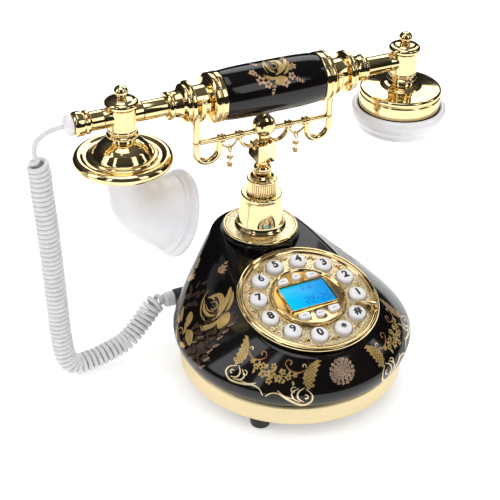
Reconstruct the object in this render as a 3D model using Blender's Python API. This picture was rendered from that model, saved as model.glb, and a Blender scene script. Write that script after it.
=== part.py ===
"""A French-style cradle telephone: a lacquered pear-shaped base with a gilt push-button dial, a neck with a
forked cradle that works the hook switch, a handset with a horn mouthpiece, and a curly cord.

Lengths are in millimetres and are turned into metres where a mesh is made. The base stands on Z = 0 at the
origin, its dial faces -Y, and the handset lies along X with the mouthpiece at -X."""

import math

import bmesh
import bpy
from mathutils import Matrix, Vector

MM = 0.001
GAP = 0.3

# base
FOOT_HEIGHT = 10.7
FOOT_TOP_RADIUS = 7.6
FOOT_CIRCLE = 67.0
RING_BOTTOM = 11.0
RING_TOP = 27.2
RING_INNER = 72.0
BODY_FOOT_RADIUS = 76.4
BULGE_RADIUS = 83.0
BULGE_HEIGHT = 39.4
WALL = 3.0
SHOULDER_HEIGHT = 67.2
REAR_RISE = 0.16
FRONT_FALL = 0.165
DIAL_SEAT = 3.0
NECK_SEAT_TOP = 87.3

# dial, in its own tilted frame
DIAL_TILT = math.radians(11.2)
DIAL_CENTRE = Vector((0.0, -20.8, 74.0))
DIAL_RADIUS = 48.6
BODY_DIAL_SHOULDER = 50.6
KEY_CIRCLE = 34.4
KEY_RADIUS = 5.95
KEY_HOLE = 6.35
FINGER_STOP_ANGLE = math.radians(-30)
BEZEL_OUTER = 26.2
BEZEL_INNER = 24.3
LCD_HALF = (16.6, 10.4)
LCD_CENTRE_V = 1.2
FUNCTION_SLOTS = ((-11.2, 17.2), (0.0, 18.8), (11.2, 17.2), (-11.2, -16.0), (0.0, -17.2), (11.2, -16.0))
FUNCTION_REACH = 23.0

# neck and cradle
NECK_Y = 52.4
NECK_SHOULDER = 39.5
REAR_SQUEEZE = 0.15
FLANGE_RADIUS = 26.6
FLANGE_TOP = 89.8
BAR_Z = 165.0
DRUM_Z = 168.5
FORK_X = 50.3
INNER_ARM_X = 33.2
SWAG_X = 18.6
FORK_BOTTOM = 149.6
BAR_RADIUS = 1.9
ARM_RADIUS = 2.3
PRONG_RADIUS = 2.1
PENDANT_X = 25.2
PENDANT_Z = 155.0

# handset
AXIS_Z = 196.7
HANDSET_X = 2.0
MOUTH_X = -101.8
EAR_X = 107.9
GRIP_HALF = 35.8
GRIP_BORE = 12.4
TUBE_RADIUS = 6.3
TUBE_BORE = 4.4
TUBE_START = 47.0
TUBE_ENDS = (-90.3, 92.5)
GROOVE_RADIUS = 10.0
YOKE_RADIUS = GROOVE_RADIUS + GAP + PRONG_RADIUS

# cord
CORD_Y = NECK_Y
LEAD_DIAMETER = 3.2
COIL_DIAMETER = 15.2
SOCKET_Y = 64.0
SOCKET_Z = 35.6
WALL_SOCKET_BACK = 64.0

WIDE_ROUND = 36
ROUND = 24
SMALL_ROUND = 16


def clear_scene():
    for obj in list(bpy.data.objects):
        bpy.data.objects.remove(obj)


def material(name, colour, roughness, metallic=0.0):
    mat = bpy.data.materials.get(name)
    if mat:
        return mat
    mat = bpy.data.materials.new(name)
    mat.use_nodes = True
    shader = mat.node_tree.nodes["Principled BSDF"]
    shader.inputs["Base Color"].default_value = (*colour, 1.0)
    shader.inputs["Roughness"].default_value = roughness
    shader.inputs["Metallic"].default_value = metallic
    return mat


def gold():
    return material("polished_gold", (0.83, 0.69, 0.36), 0.12, 1.0)


def satin_gold():
    return material("satin_gold", (0.78, 0.66, 0.38), 0.35, 1.0)


def black_lacquer():
    return material("black_lacquer", (0.012, 0.012, 0.014), 0.12)


def white_plastic():
    return material("white_plastic", (0.86, 0.86, 0.87), 0.3)


def cord_plastic():
    return material("cord_plastic", (0.72, 0.72, 0.72), 0.42)


def rubber():
    return material("black_rubber", (0.02, 0.02, 0.02), 0.75)


def dark_plastic():
    return material("dark_plastic", (0.05, 0.05, 0.055), 0.5)


def steel():
    return material("zinc_steel", (0.56, 0.57, 0.58), 0.35, 1.0)


def board():
    return material("green_board", (0.03, 0.16, 0.07), 0.5)


def lcd_glass():
    return material("lcd_glass", (0.18, 0.62, 0.78), 0.12)


def finish(name, mesh_builder, mat, frame=None):
    """Makes the object of one node: a closed mesh in millimetres, placed by frame."""
    bmesh.ops.recalc_face_normals(mesh_builder, faces=mesh_builder.faces)
    mesh = bpy.data.meshes.new(name)
    mesh_builder.to_mesh(mesh)
    mesh_builder.free()
    mesh.transform(Matrix.Scale(MM, 4))
    mesh.materials.append(mat)
    obj = bpy.data.objects.new(name, mesh)
    bpy.context.scene.collection.objects.link(obj)
    if frame is not None:
        obj.matrix_world = Matrix.Translation(frame.to_translation() * MM) @ frame.to_3x3().to_4x4()
    mesh.shade_smooth()
    mesh.set_sharp_from_angle(angle=math.radians(35))
    return obj


def lathe(profile, segments):
    """A closed (radius, height) loop turned about Z; a point on the axis becomes one vertex."""
    bm = bmesh.new()
    rings = []
    for radius, height in profile:
        if radius < 1e-6:
            rings.append([bm.verts.new((0.0, 0.0, height))])
            continue
        angles = [2 * math.pi * k / segments for k in range(segments)]
        rings.append([bm.verts.new((radius * math.cos(a), radius * math.sin(a), height)) for a in angles])
    for first, second in zip(rings, rings[1:] + rings[:1]):
        if len(first) == 1 and len(second) == 1:
            continue
        for k in range(segments):
            after = (k + 1) % segments
            corners = [first[k % len(first)], first[after % len(first)], second[after % len(second)],
                       second[k % len(second)]]
            bm.faces.new(list(dict.fromkeys(corners)))
    return bm


def sweep(path, radius, sides):
    """A solid rod along the path, its section turned as little as possible from point to point."""
    bm = bmesh.new()
    points = [Vector(p) for p in path]
    tangents = []
    for k in range(len(points)):
        before = points[max(k - 1, 0)]
        after = points[min(k + 1, len(points) - 1)]
        tangents.append((after - before).normalized())
    across = tangents[0].orthogonal().normalized()
    rings = []
    for k, point in enumerate(points):
        if k:
            across = tangents[k - 1].rotation_difference(tangents[k]) @ across
        up = tangents[k].cross(across).normalized()
        angles = [2 * math.pi * s / sides for s in range(sides)]
        rings.append([bm.verts.new(point + radius * (across * math.cos(a) + up * math.sin(a))) for a in angles])
    for first, second in zip(rings, rings[1:]):
        for s in range(sides):
            after = (s + 1) % sides
            bm.faces.new((first[s], first[after], second[after], second[s]))
    bm.faces.new(rings[0])
    bm.faces.new(rings[-1])
    return bm


def prism(outline, bottom, top):
    """An upright prism over a closed (x, y) outline."""
    bm = bmesh.new()
    low = [bm.verts.new((x, y, bottom)) for x, y in outline]
    high = [bm.verts.new((x, y, top)) for x, y in outline]
    count = len(outline)
    for k in range(count):
        after = (k + 1) % count
        bm.faces.new((low[k], low[after], high[after], high[k]))
    bm.faces.new(low)
    bm.faces.new(high)
    return bm


def rounded_rectangle(half_x, half_y, radius, steps=3):
    outline = []
    for quarter, (sx, sy) in enumerate(((1, 1), (-1, 1), (-1, -1), (1, -1))):
        for step in range(steps + 1):
            angle = math.pi / 2 * (quarter + step / steps)
            outline.append((sx * (half_x - radius) + radius * math.cos(angle),
                            sy * (half_y - radius) + radius * math.sin(angle)))
    return outline


def smooth_path(route, steps):
    """A Catmull-Rom curve through the hand-chosen route points."""
    points = [Vector(p) for p in route]
    ends = [points[0] * 2 - points[1]] + points + [points[-1] * 2 - points[-2]]
    curve = []
    for a, b, c, d in zip(ends, ends[1:], ends[2:], ends[3:]):
        for step in range(steps):
            t = step / steps
            curve.append(0.5 * (2 * b + (c - a) * t + (2 * a - 5 * b + 4 * c - d) * t ** 2
                                + (3 * b - a - 3 * c + d) * t ** 3))
    curve.append(points[-1])
    return curve


def joined(pieces):
    """One mesh of several separate solids, each with its own frame."""
    bm = bmesh.new()
    for piece, frame in pieces:
        piece.transform(frame)
        mesh = bpy.data.meshes.new("piece")
        piece.to_mesh(mesh)
        piece.free()
        bm.from_mesh(mesh)
        bpy.data.meshes.remove(mesh)
    return bm


def boolean(target, operation, tool_mesh, frame=None):
    """Adds or cuts one closed tool mesh, and bakes the result into the target."""
    tool = finish("tool", tool_mesh, target.data.materials[0], frame)
    modifier = target.modifiers.new("boolean", "BOOLEAN")
    modifier.operation = operation
    modifier.solver = "EXACT"
    modifier.object = tool
    bpy.context.view_layer.update()
    graph = bpy.context.evaluated_depsgraph_get()
    mesh = bpy.data.meshes.new_from_object(target.evaluated_get(graph))
    target.modifiers.clear()
    old = target.data
    target.data = mesh
    bpy.data.meshes.remove(old)
    mesh.name = target.name
    bpy.data.objects.remove(tool)
    mesh.shade_smooth()
    mesh.set_sharp_from_angle(angle=math.radians(35))


def dial_frame():
    return Matrix.Translation(DIAL_CENTRE) @ Matrix.Rotation(DIAL_TILT, 4, "X")


def at(x, y, z):
    return Matrix.Translation((x, y, z))


def along_x(x, y, z):
    """A frame whose Z axis points along +X."""
    return at(x, y, z) @ Matrix.Rotation(math.pi / 2, 4, "Y")


def wall_socket_frame():
    """At the back of the base, its Z axis pointing out along +Y."""
    return at(0, WALL_SOCKET_BACK, SOCKET_Z) @ Matrix.Rotation(-math.pi / 2, 4, "X")


def handset_x(x):
    return along_x(HANDSET_X + x, NECK_Y, AXIS_Z)


# ---------------------------------------------------------------- base


def top_outline(angle):
    """The edge where the body's shoulder meets its top: a round about the dial run into one about the neck."""
    out_x = math.sin(angle)
    out_y = -math.cos(angle)
    dial_y = DIAL_CENTRE.y
    reach = (NECK_Y - dial_y) * out_y + NECK_SHOULDER - BODY_DIAL_SHOULDER
    share = 1 / (1 + math.exp(-reach / 13.0))
    radius = BODY_DIAL_SHOULDER * (1 - share) + NECK_SHOULDER * share
    depth = radius * (1 - REAR_SQUEEZE * share)
    return Vector((out_x * radius, dial_y * (1 - share) + NECK_Y * share + out_y * depth))


def body_rings(inset, foot_steps, shoulder_steps):
    """Rings of the body from its foot up to the middle of its top, moved inwards by inset."""
    angles = [2 * math.pi * k / WIDE_ROUND for k in range(WIDE_ROUND)]
    top_middle = Vector((0.0, 15.0))
    rings = []

    def ring(radius_of, height_of):
        row = []
        for angle in angles:
            flat = radius_of(angle)
            row.append(Vector((flat.x, flat.y, height_of(flat) - inset)))
        rings.append(row)

    def base_point(angle, radius):
        return Vector((math.sin(angle), -math.cos(angle))) * (radius - inset)

    def inner(flat):
        return flat - (flat - top_middle).normalized() * inset

    def shoulder_height(flat):
        behind_dial = flat.y - DIAL_CENTRE.y
        return SHOULDER_HEIGHT + (REAR_RISE if behind_dial > 0 else FRONT_FALL) * behind_dial

    def top_height(flat):
        tilted = DIAL_CENTRE.z - DIAL_SEAT + math.tan(DIAL_TILT) * (flat.y - DIAL_CENTRE.y)
        return min(tilted, NECK_SEAT_TOP - 0.6)

    for k in range(foot_steps + 1):
        turn = math.pi / 2 * (1 - k / foot_steps)
        radius = BULGE_RADIUS - (BULGE_RADIUS - BODY_FOOT_RADIUS) * (1 - math.cos(turn))
        height = BULGE_HEIGHT - (BULGE_HEIGHT - RING_TOP - GAP) * math.sin(turn)
        ring(lambda a, r=radius: base_point(a, r), lambda f, z=height: z + inset)
    for k in range(1, shoulder_steps + 1):
        turn = math.pi / 2 * k / shoulder_steps
        across = math.sin(turn) ** 2
        rise = math.sin(turn) ** 1.48

        def flat_at(angle, share=across):
            start = base_point(angle, BULGE_RADIUS)
            return start + (inner(top_outline(angle)) - start) * share

        def height_at(flat, share=rise):
            return BULGE_HEIGHT + (shoulder_height(flat) - BULGE_HEIGHT) * share

        ring(flat_at, height_at)
    for scale, share in ((0.95, 0.55), (0.88, 0.95), (0.8, 1.0)):
        ring(lambda a, s=scale: top_middle + (inner(top_outline(a)) - top_middle) * s,
             lambda f, s=share: shoulder_height(f) * (1 - s) + top_height(f) * s)
    return rings, Vector((0.0, top_middle.y, top_height(top_middle) - inset))


def skin(bm, rings, middle):
    """Quads between the rings and a fan to the middle point; returns the first ring."""
    rows = [[bm.verts.new(p) for p in row] for row in rings]
    count = len(rows[0])
    for first, second in zip(rows, rows[1:]):
        for k in range(count):
            after = (k + 1) % count
            bm.faces.new((first[k], first[after], second[after], second[k]))
    top = bm.verts.new(middle)
    for k in range(count):
        bm.faces.new((rows[-1][k], rows[-1][(k + 1) % count], top))
    return rows[0]


def build_body():
    bm = bmesh.new()
    outer = skin(bm, *body_rings(0.0, 4, 8))
    inner = skin(bm, *body_rings(WALL, 2, 4))
    count = len(outer)
    for k in range(count):
        after = (k + 1) % count
        bm.faces.new((outer[k], outer[after], inner[after], inner[k]))
    body = finish("body_shell", bm, black_lacquer())
    seat = lathe([(0, 79.0), (28.2, 79.0), (28.2, NECK_SEAT_TOP - 1.0), (27.6, NECK_SEAT_TOP), (0, NECK_SEAT_TOP)], ROUND)
    boolean(body, "UNION", seat, at(0, NECK_Y, 0))
    well = lathe([(0, -14), (46.6, -14), (46.6, -2.8), (DIAL_RADIUS + GAP, -2.8), (DIAL_RADIUS + GAP, 14), (0, 14)],
                 WIDE_ROUND)
    neck_hole = lathe([(0, 70), (6.0, 70), (6.0, 100), (0, 100)], SMALL_ROUND)
    cord_hole = lathe([(0, -75), (6.6, -75), (6.6, -30), (0, -30)], SMALL_ROUND)
    wall_hole = prism(rounded_rectangle(7.3, 6.3, 1.0, 1), -1.0, 30.0)
    boolean(body, "DIFFERENCE", joined([(well, dial_frame()), (neck_hole, at(0, NECK_Y, 0)),
                                        (cord_hole, along_x(0, SOCKET_Y, SOCKET_Z)),
                                        (wall_hole, wall_socket_frame())]))


def build_base():
    ring = [(RING_INNER, RING_BOTTOM), (77.2, RING_BOTTOM), (78.2, 12.2), (78.0, 17.0), (77.0, 24.6), (76.2, 25.4),
            (75.2, 25.8), (75.2, RING_TOP), (RING_INNER, RING_TOP)]
    finish("base_ring", lathe(ring, WIDE_ROUND), satin_gold())
    finish("base_plate", lathe([(0, 11.0), (71.0, 11.0), (71.7, 11.7), (71.7, 14.0), (0, 14.0)], ROUND), dark_plastic())
    foot = [(0, 0), (5.4, 0), (6.4, 0.8), (7.0, 3.0), (FOOT_TOP_RADIUS, FOOT_HEIGHT), (0, FOOT_HEIGHT)]
    for name, degrees in (("front_left", 225), ("front_right", 315), ("rear_right", 45), ("rear_left", 135)):
        angle = math.radians(degrees)
        place = at(FOOT_CIRCLE * math.cos(angle), FOOT_CIRCLE * math.sin(angle), 0)
        finish("foot_" + name, lathe(foot, SMALL_ROUND), rubber(), place)
    weight = rounded_rectangle(34.0, 20.0, 4.0)
    finish("ballast_weight", prism(weight, 14.3, 21.5), steel(), at(0, 2, 0))
    ringer = [(0, 14.3), (12.5, 14.3), (12.5, 20.0), (10.8, 21.5), (3.0, 21.5), (2.4, 20.4), (0, 20.4)]
    finish("ringer_buzzer", lathe(ringer, SMALL_ROUND), dark_plastic(), at(34, -42, 0))
    post = prism(rounded_rectangle(8.0, 6.0, 1.5, 2), 14.3, 60.0)
    switch = finish("hook_switch", post, dark_plastic(), at(0, NECK_Y, 0))
    boolean(switch, "UNION", lathe([(0, 59), (2.2, 59), (2.2, 63.7), (1.6, 64.3), (0, 64.3)], 12), at(0, NECK_Y, 0))
    socket = [(0, -36.0), (6.2, -36.0), (6.2, -61.4), (5.2, -62.0), (4.4, -62.0), (4.4, -44.0), (0, -44.0)]
    finish("handset_socket", lathe(socket, SMALL_ROUND), dark_plastic(), along_x(0, SOCKET_Y, SOCKET_Z))
    wall_socket = finish("wall_socket", prism(rounded_rectangle(7.0, 6.0, 0.8, 1), 0, 17.0), dark_plastic(),
                         wall_socket_frame())
    boolean(wall_socket, "DIFFERENCE", prism(rounded_rectangle(5.4, 4.4, 0.3, 1), 6.0, 20.0), wall_socket_frame())


# ---------------------------------------------------------------- dial


KEY_SIDES = 12
KEYS = ("1", "2", "3", "4", "5", "6", "7", "8", "9", "0", "star", "hash")
FUNCTIONS = ("flash", "redial", "mute", "store", "volume", "delete")


def key_place(index):
    """The frame of one digit key on the dial: they stand every 30 degrees from the right, 1 just below level."""
    angle = math.radians(-15 + 30 * index)
    return at(KEY_CIRCLE * math.cos(angle), KEY_CIRCLE * math.sin(angle), 0)


def function_outline(x, v, grow=0.0):
    """The outline of a small button about its own middle: the outer ones follow the round frame."""
    half = (4.0, 2.6) if x else (3.1, 2.6)
    outline = []
    for px, py in rounded_rectangle(half[0], half[1], 1.6 if x else 2.4, 2):
        spot = Vector((x + px, v + py))
        spot *= min(FUNCTION_REACH / spot.length, 1.0)
        away = Vector((px, py)).normalized() * grow
        outline.append((spot.x - x + away.x, spot.y - v + away.y))
    return outline


def build_dial():
    plate = [(BEZEL_INNER - GAP, -3.4), (44.6, -3.4), (44.6, -8.4), (46.2, -8.4), (46.2, -2.6), (DIAL_RADIUS, -2.6),
             (DIAL_RADIUS, -0.8), (47.6, 0.0), (46.2, -0.5), (45.2, -0.8), (43.8, -1.8), (BEZEL_INNER - GAP, -1.8)]
    dial = finish("dial_plate", lathe(plate, WIDE_ROUND), gold(), dial_frame())
    holes = [(lathe([(0, -6), (KEY_HOLE, -6), (KEY_HOLE, 3), (0, 3)], KEY_SIDES), key_place(index))
             for index in range(len(KEYS))]
    boolean(dial, "DIFFERENCE", joined(holes), dial_frame())
    outline = [(0.0, 1.6), (0.0, -1.6), (7.0, -2.2), (10.6, -1.4), (14.4, 0.0), (10.6, 1.4), (7.0, 2.2)]
    finger_stop = Matrix.Rotation(FINGER_STOP_ANGLE, 4, "Z") @ at(45.6, 0, 0) @ Matrix.Rotation(math.pi, 4, "Z")
    boolean(dial, "UNION", prism(outline, -1.6, 1.8), dial_frame() @ finger_stop)
    build_bezel()
    key = [(0, -5.4), (7.2, -5.4), (7.2, -3.7), (KEY_RADIUS, -3.7), (KEY_RADIUS, 0.6), (4.6, 2.0), (0, 2.6)]
    for index, name in enumerate(KEYS):
        finish("key_" + name, lathe(key, KEY_SIDES), white_plastic(), dial_frame() @ key_place(index))
    for name, (x, v) in zip(FUNCTIONS, FUNCTION_SLOTS):
        place = dial_frame() @ at(x, v, 0)
        button = finish("button_" + name, prism(function_outline(x, v), -4.6, 1.2), white_plastic(), place)
        boolean(button, "UNION", prism(rounded_rectangle(4.7, 3.3, 0.8, 1), -4.9, -3.7), place)
    circuit = lathe([(0, -10.3), (45.8, -10.3), (45.8, -8.7), (0, -8.7)], ROUND)
    finish("circuit_board", circuit, board(), dial_frame())
    window = rounded_rectangle(LCD_HALF[0] - GAP, LCD_HALF[1] - GAP, 1.0, 2)
    finish("lcd_window", prism(window, -8.4, 0.2), lcd_glass(), dial_frame() @ at(0, LCD_CENTRE_V, 0))


def build_bezel():
    """The raised round frame in the middle of the dial, cut for the window and the six small buttons."""
    profile = [(0, -3.0), (BEZEL_INNER - 2.0, -3.0), (BEZEL_INNER - 2.0, -1.4), (BEZEL_OUTER, -1.4), (BEZEL_OUTER, 0.4),
               (BEZEL_OUTER - 0.6, 1.0), (BEZEL_INNER, 1.0), (BEZEL_INNER - 0.6, -0.2), (0, -0.2)]
    bezel = finish("inner_bezel", lathe(profile, WIDE_ROUND), gold(), dial_frame())
    lip = prism(rounded_rectangle(LCD_HALF[0] + 1.3, LCD_HALF[1] + 1.3, 1.6, 2), -1.0, 1.0)
    boolean(bezel, "UNION", lip, dial_frame() @ at(0, LCD_CENTRE_V, 0))
    cuts = [(prism(rounded_rectangle(LCD_HALF[0], LCD_HALF[1], 1.0, 2), -6, 4), at(0, LCD_CENTRE_V, 0))]
    cuts += [(prism(function_outline(x, v, GAP), -6, 4), at(x, v, 0)) for x, v in FUNCTION_SLOTS]
    boolean(bezel, "DIFFERENCE", joined(cuts), dial_frame())


# ---------------------------------------------------------------- neck and cradle


def build_neck():
    flange = [(6.0, 87.6), (25.6, 87.6), (FLANGE_RADIUS, 88.0), (FLANGE_RADIUS, 89.4), (26.0, FLANGE_TOP), (24.4, 89.6),
              (23.8, 89.3), (6.0, 89.9)]
    tilted_seat = lathe(flange, ROUND)
    finish("neck_flange", tilted_seat, gold(), at(0, NECK_Y, 0))
    bell = [(4.0, 90.3), (18.4, 90.3), (17.8, 91.2), (16.4, 93.2), (15.7, 98.0), (15.0, 105.0), (14.3, 112.4),
            (14.5, 113.4), (14.4, 115.4), (13.7, 116.2), (4.0, 116.2)]
    finish("pedestal_bell", lathe(bell, ROUND), gold(), at(0, NECK_Y, 0))
    collar = [(4.0, 116.5), (10.6, 116.5), (10.6, 127.4), (10.0, 128.8), (8.8, 129.2), (6.2, 130.8), (4.0, 130.8)]
    finish("fluted_collar", lathe(collar, ROUND), gold(), at(0, NECK_Y, 0))


def star_mesh():
    """A block with a low pyramid on each side face, and a neck above and a barrel below, in one casting."""
    bm = bmesh.new()
    half = 6.6
    low = 142.2
    high = 155.4
    apex = 4.6
    corners = [(-half, -half), (half, -half), (half, half), (-half, half)]
    bottom = [bm.verts.new((x, y, low)) for x, y in corners]
    top = [bm.verts.new((x, y, high)) for x, y in corners]
    for k, (dx, dy) in enumerate(((0, -1), (1, 0), (0, 1), (-1, 0))):
        after = (k + 1) % 4
        tip = bm.verts.new((dx * (half + apex), dy * (half + apex), (low + high) / 2))
        loop = [bottom[k], bottom[after], top[after], top[k]]
        for a, b in zip(loop, loop[1:] + loop[:1]):
            bm.faces.new((a, b, tip))
    bm.faces.new(bottom)
    bm.faces.new(top)
    return bm


def build_plunger():
    """The rod that carries the cradle down to the hook switch, with the barrel knob above the fluted collar."""
    rod = [(0, 64.6), (3.4, 64.6), (3.4, 131.4), (4.6, 131.4), (6.0, 132.6), (6.3, 134.8), (6.0, 137.0), (4.6, 138.2),
           (3.2, 138.8), (3.2, 140.4), (0, 140.4)]
    finish("plunger_rod", lathe(rod, SMALL_ROUND), gold(), at(0, NECK_Y, 0))
    star = finish("star_knob", star_mesh(), gold(), at(0, NECK_Y, 0))
    stem = lathe([(0, 140.7), (4.4, 140.7), (4.4, 143.0), (0, 143.0)], SMALL_ROUND)
    boolean(star, "UNION", stem, at(0, NECK_Y, 0))


def arc(centre, radius, start, end, steps, plane):
    """Points of an arc in the XZ or YZ plane, its angles in degrees from the first axis."""
    points = []
    for k in range(steps + 1):
        angle = math.radians(start + (end - start) * k / steps)
        offset = (radius * math.cos(angle), radius * math.sin(angle))
        if plane == "XZ":
            points.append((centre[0] + offset[0], centre[1], centre[2] + offset[1]))
        else:
            points.append((centre[0], centre[1] + offset[0], centre[2] + offset[1]))
    return points


def fork_paths(side):
    """The D-shaped loop with its upright, and the yoke that holds the handset's groove."""
    mid = (FORK_X + INNER_ARM_X) / 2
    radius = (FORK_X - INNER_ARM_X) / 2
    low = FORK_BOTTOM + radius
    loop = [(side * INNER_ARM_X, NECK_Y, BAR_Z)]
    loop += [(side * x, y, z) for x, y, z in arc((mid, NECK_Y, low), radius, 180, 360, 8, "XZ")]
    loop += [(side * FORK_X, NECK_Y, AXIS_Z - YOKE_RADIUS)]
    yoke = arc((side * FORK_X, NECK_Y, AXIS_Z), YOKE_RADIUS, 180, 360, 8, "YZ")
    tips = [(side * FORK_X, NECK_Y + end * (YOKE_RADIUS + 0.6), AXIS_Z + 4.6) for end in (-1, 1)]
    return loop, [tips[0]] + yoke + [tips[1]]


def swag_paths(side):
    """The curved arm from the bar down to the knob, and the thin wire that carries a pendant."""
    arm = smooth_path([(side * SWAG_X, NECK_Y, BAR_Z - 0.4), (side * 16.6, NECK_Y, 158.6), (side * 12.6, NECK_Y, 155.6),
                       (side * 4.0, NECK_Y, 158.0)], 3)
    wire = smooth_path([(side * (SWAG_X + 0.4), NECK_Y, BAR_Z - 2), (side * 21.8, NECK_Y, 158.6),
                        (side * PENDANT_X, NECK_Y, PENDANT_Z + 1.6), (side * 28.6, NECK_Y, 158.0),
                        (side * (INNER_ARM_X - 0.6), NECK_Y, 161.0)], 2)
    return arm, wire


def build_cradle():
    bar = sweep([(-FORK_X, NECK_Y, BAR_Z), (0, NECK_Y, BAR_Z), (FORK_X, NECK_Y, BAR_Z)], BAR_RADIUS, 8)
    frame = finish("cradle_frame", bar, gold())
    stem = [(0, 155.7), (3.4, 155.7), (3.4, 157.8), (4.4, 160.0), (4.4, 168.0), (0, 168.0)]
    boolean(frame, "UNION", lathe(stem, SMALL_ROUND), at(0, NECK_Y, 0))
    drum = [(0, -5.0), (3.6, -4.8), (6.4, -4.0), (7.8, -2.6), (7.8, 2.8), (7.0, 4.2), (5.0, 5.6), (2.5, 6.4), (0, 6.6)]
    boolean(frame, "UNION", lathe(drum, ROUND), at(0, NECK_Y, DRUM_Z) @ Matrix.Rotation(math.pi / 2, 4, "X"))
    bead = [(0, -2.4), (2.6, -2.4), (3.3, 0), (2.6, 2.4), (0, 2.4)]
    for side in (-1, 1):
        loop, yoke = fork_paths(side)
        arm, wire = swag_paths(side)
        boolean(frame, "UNION", sweep(loop, ARM_RADIUS, 8))
        boolean(frame, "UNION", sweep(yoke, PRONG_RADIUS, 8))
        boolean(frame, "UNION", sweep(arm, 1.7, 6))
        boolean(frame, "UNION", sweep(wire, 0.8, 6))
        for x in (INNER_ARM_X, SWAG_X):
            boolean(frame, "UNION", lathe(bead, 10), along_x(side * x, NECK_Y, BAR_Z))
    return frame


def build_pendants():
    """A ring, a cross and a flower, hung on the wire by a split ring that passes over it."""
    for name, side in (("left", -1), ("right", 1)):
        pivot = Vector((side * PENDANT_X, NECK_Y, PENDANT_Z + 1.6))
        ring = []
        for k in range(11):
            angle = math.radians(110 + 320 * k / 10)
            ring.append((0, 2.4 * math.cos(angle), 2.4 * math.sin(angle) - 0.9))
        pendant = finish("pendant_" + name, sweep(ring, 0.7, 6), gold(), at(*pivot))
        stem = lathe([(0, -13.4), (0.9, -13.4), (1.0, -3.2), (0, -3.2)], 8)
        boolean(pendant, "UNION", stem, at(*pivot))
        bar = lathe([(0, -2.6), (1.0, -2.2), (0.8, 0), (1.0, 2.2), (0, 2.6)], 8)
        boolean(pendant, "UNION", bar, along_x(pivot.x, pivot.y, pivot.z - 8.0))
        bloom = lathe([(0, -2.6), (1.5, -1.8), (2.2, 0), (1.5, 1.8), (0, 2.6)], 8)
        boolean(pendant, "UNION", bloom, at(pivot.x, pivot.y, pivot.z - 13.0))


# ---------------------------------------------------------------- handset


def build_grip():
    profile = [(GRIP_BORE, -GRIP_HALF), (16.4, -GRIP_HALF), (17.2, -28), (17.6, -14), (17.6, 14), (17.2, 28),
               (16.4, GRIP_HALF), (GRIP_BORE, GRIP_HALF)]
    finish("handset_grip", lathe(profile, ROUND), black_lacquer(), handset_x(0))
    bore = TUBE_RADIUS + GAP
    ferrule = [(bore, 33.0), (GRIP_BORE - GAP, 33.0), (GRIP_BORE - GAP, 36.1), (16.2, 36.1), (16.9, 37.4), (16.9, 43.4),
               (15.4, 45.2), (GROOVE_RADIUS, 46.4), (GROOVE_RADIUS, 55.8), (14.2, 57.0), (14.2, 59.6), (12.6, 60.6),
               (13.0, 62.6), (9.4, 65.0), (8.6, 70.4), (9.3, 71.6), (9.0, 74.0), (bore, 74.0)]
    for name, side, end in zip(("left", "right"), (-1, 1), TUBE_ENDS):
        finish("ferrule_" + name, lathe([(r, side * h) for r, h in ferrule], ROUND), gold(), handset_x(0))
        start = side * TUBE_START
        tube = [(TUBE_BORE, start), (TUBE_RADIUS, start), (TUBE_RADIUS, end), (TUBE_BORE, end)]
        finish("tube_" + name, lathe(tube, SMALL_ROUND), gold(), handset_x(0))


def build_tees():
    """The upright sockets at the two ends, each with a finial on top."""
    post = [(0, 182.4), (9.8, 182.4), (10.4, 183.6), (9.6, 185.0), (8.6, 185.6), (9.6, 187.0), (9.8, 203.6),
            (10.9, 205.0), (10.9, 206.6), (9.4, 208.2), (5.0, 209.2), (3.0, 210.0), (4.2, 211.2), (4.6, 213.2),
            (3.8, 215.6), (2.0, 217.0), (0, 217.4)]
    stub = [(0, -13.1), (TUBE_RADIUS, -13.1), (TUBE_RADIUS, 0), (0, 0)]
    for name, x, sides in (("mouth_tee", MOUTH_X, (-1, 1)), ("ear_tee", EAR_X, (-1,))):
        tee = finish(name, lathe(post, 20), gold(), at(x, NECK_Y, 0))
        for side in sides:
            boolean(tee, "UNION", lathe([(r, -side * h) for r, h in stub], 16), along_x(x, NECK_Y, AXIS_Z))
    end = [(0, 117.2), (TUBE_RADIUS, 117.2), (TUBE_RADIUS, 125.8), (6.9, 126.4), (7.6, 127.6), (7.2, 129.4),
           (8.0, 131.6), (8.0, 135.2), (7.0, 136.8), (0, 136.8)]
    finish("end_ferrule", lathe([(r, -h) for r, h in end], SMALL_ROUND), gold(), handset_x(0))
    relief = [(0, 137.1), (6.6, 137.1), (7.0, 138.2), (6.8, 140.4), (5.0, 142.0), (2.6, 142.8), (0, 142.8)]
    finish("strain_relief", lathe([(r, -h) for r, h in relief], SMALL_ROUND), white_plastic(), handset_x(0))


def build_mouthpiece():
    saucer = [(0, 182.1), (8.0, 182.1), (8.6, 179.8), (12.4, 178.2), (17.0, 175.0), (19.4, 171.6), (20.0, 169.4),
              (21.8, 169.0), (22.6, 168.0), (25.8, 167.8), (28.6, 169.2), (31.2, 168.8), (32.7, 166.2), (31.8, 163.2),
              (29.2, 161.8), (25.0, 161.6), (0, 161.6)]
    finish("mouth_saucer", lathe(saucer, ROUND), gold(), at(MOUTH_X, NECK_Y, 0))
    build_horn()


HORN_X = -102.8
HORN_ROUTE = ((0.0, 0.0, 161.3), (0.2, 0.0, 150.0), (1.6, 0.0, 141.0), (6.0, 0.0, 131.4), (14.0, 0.0, 124.4),
              (24.0, 0.0, 119.8), (32.4, 0.0, 116.8), (35.6, 0.0, 115.7), (39.4, 0.0, 114.4))
HORN_RADII = (12.0, 10.6, 11.2, 14.6, 19.4, 23.6, 26.0, 28.8, 30.0)


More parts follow.
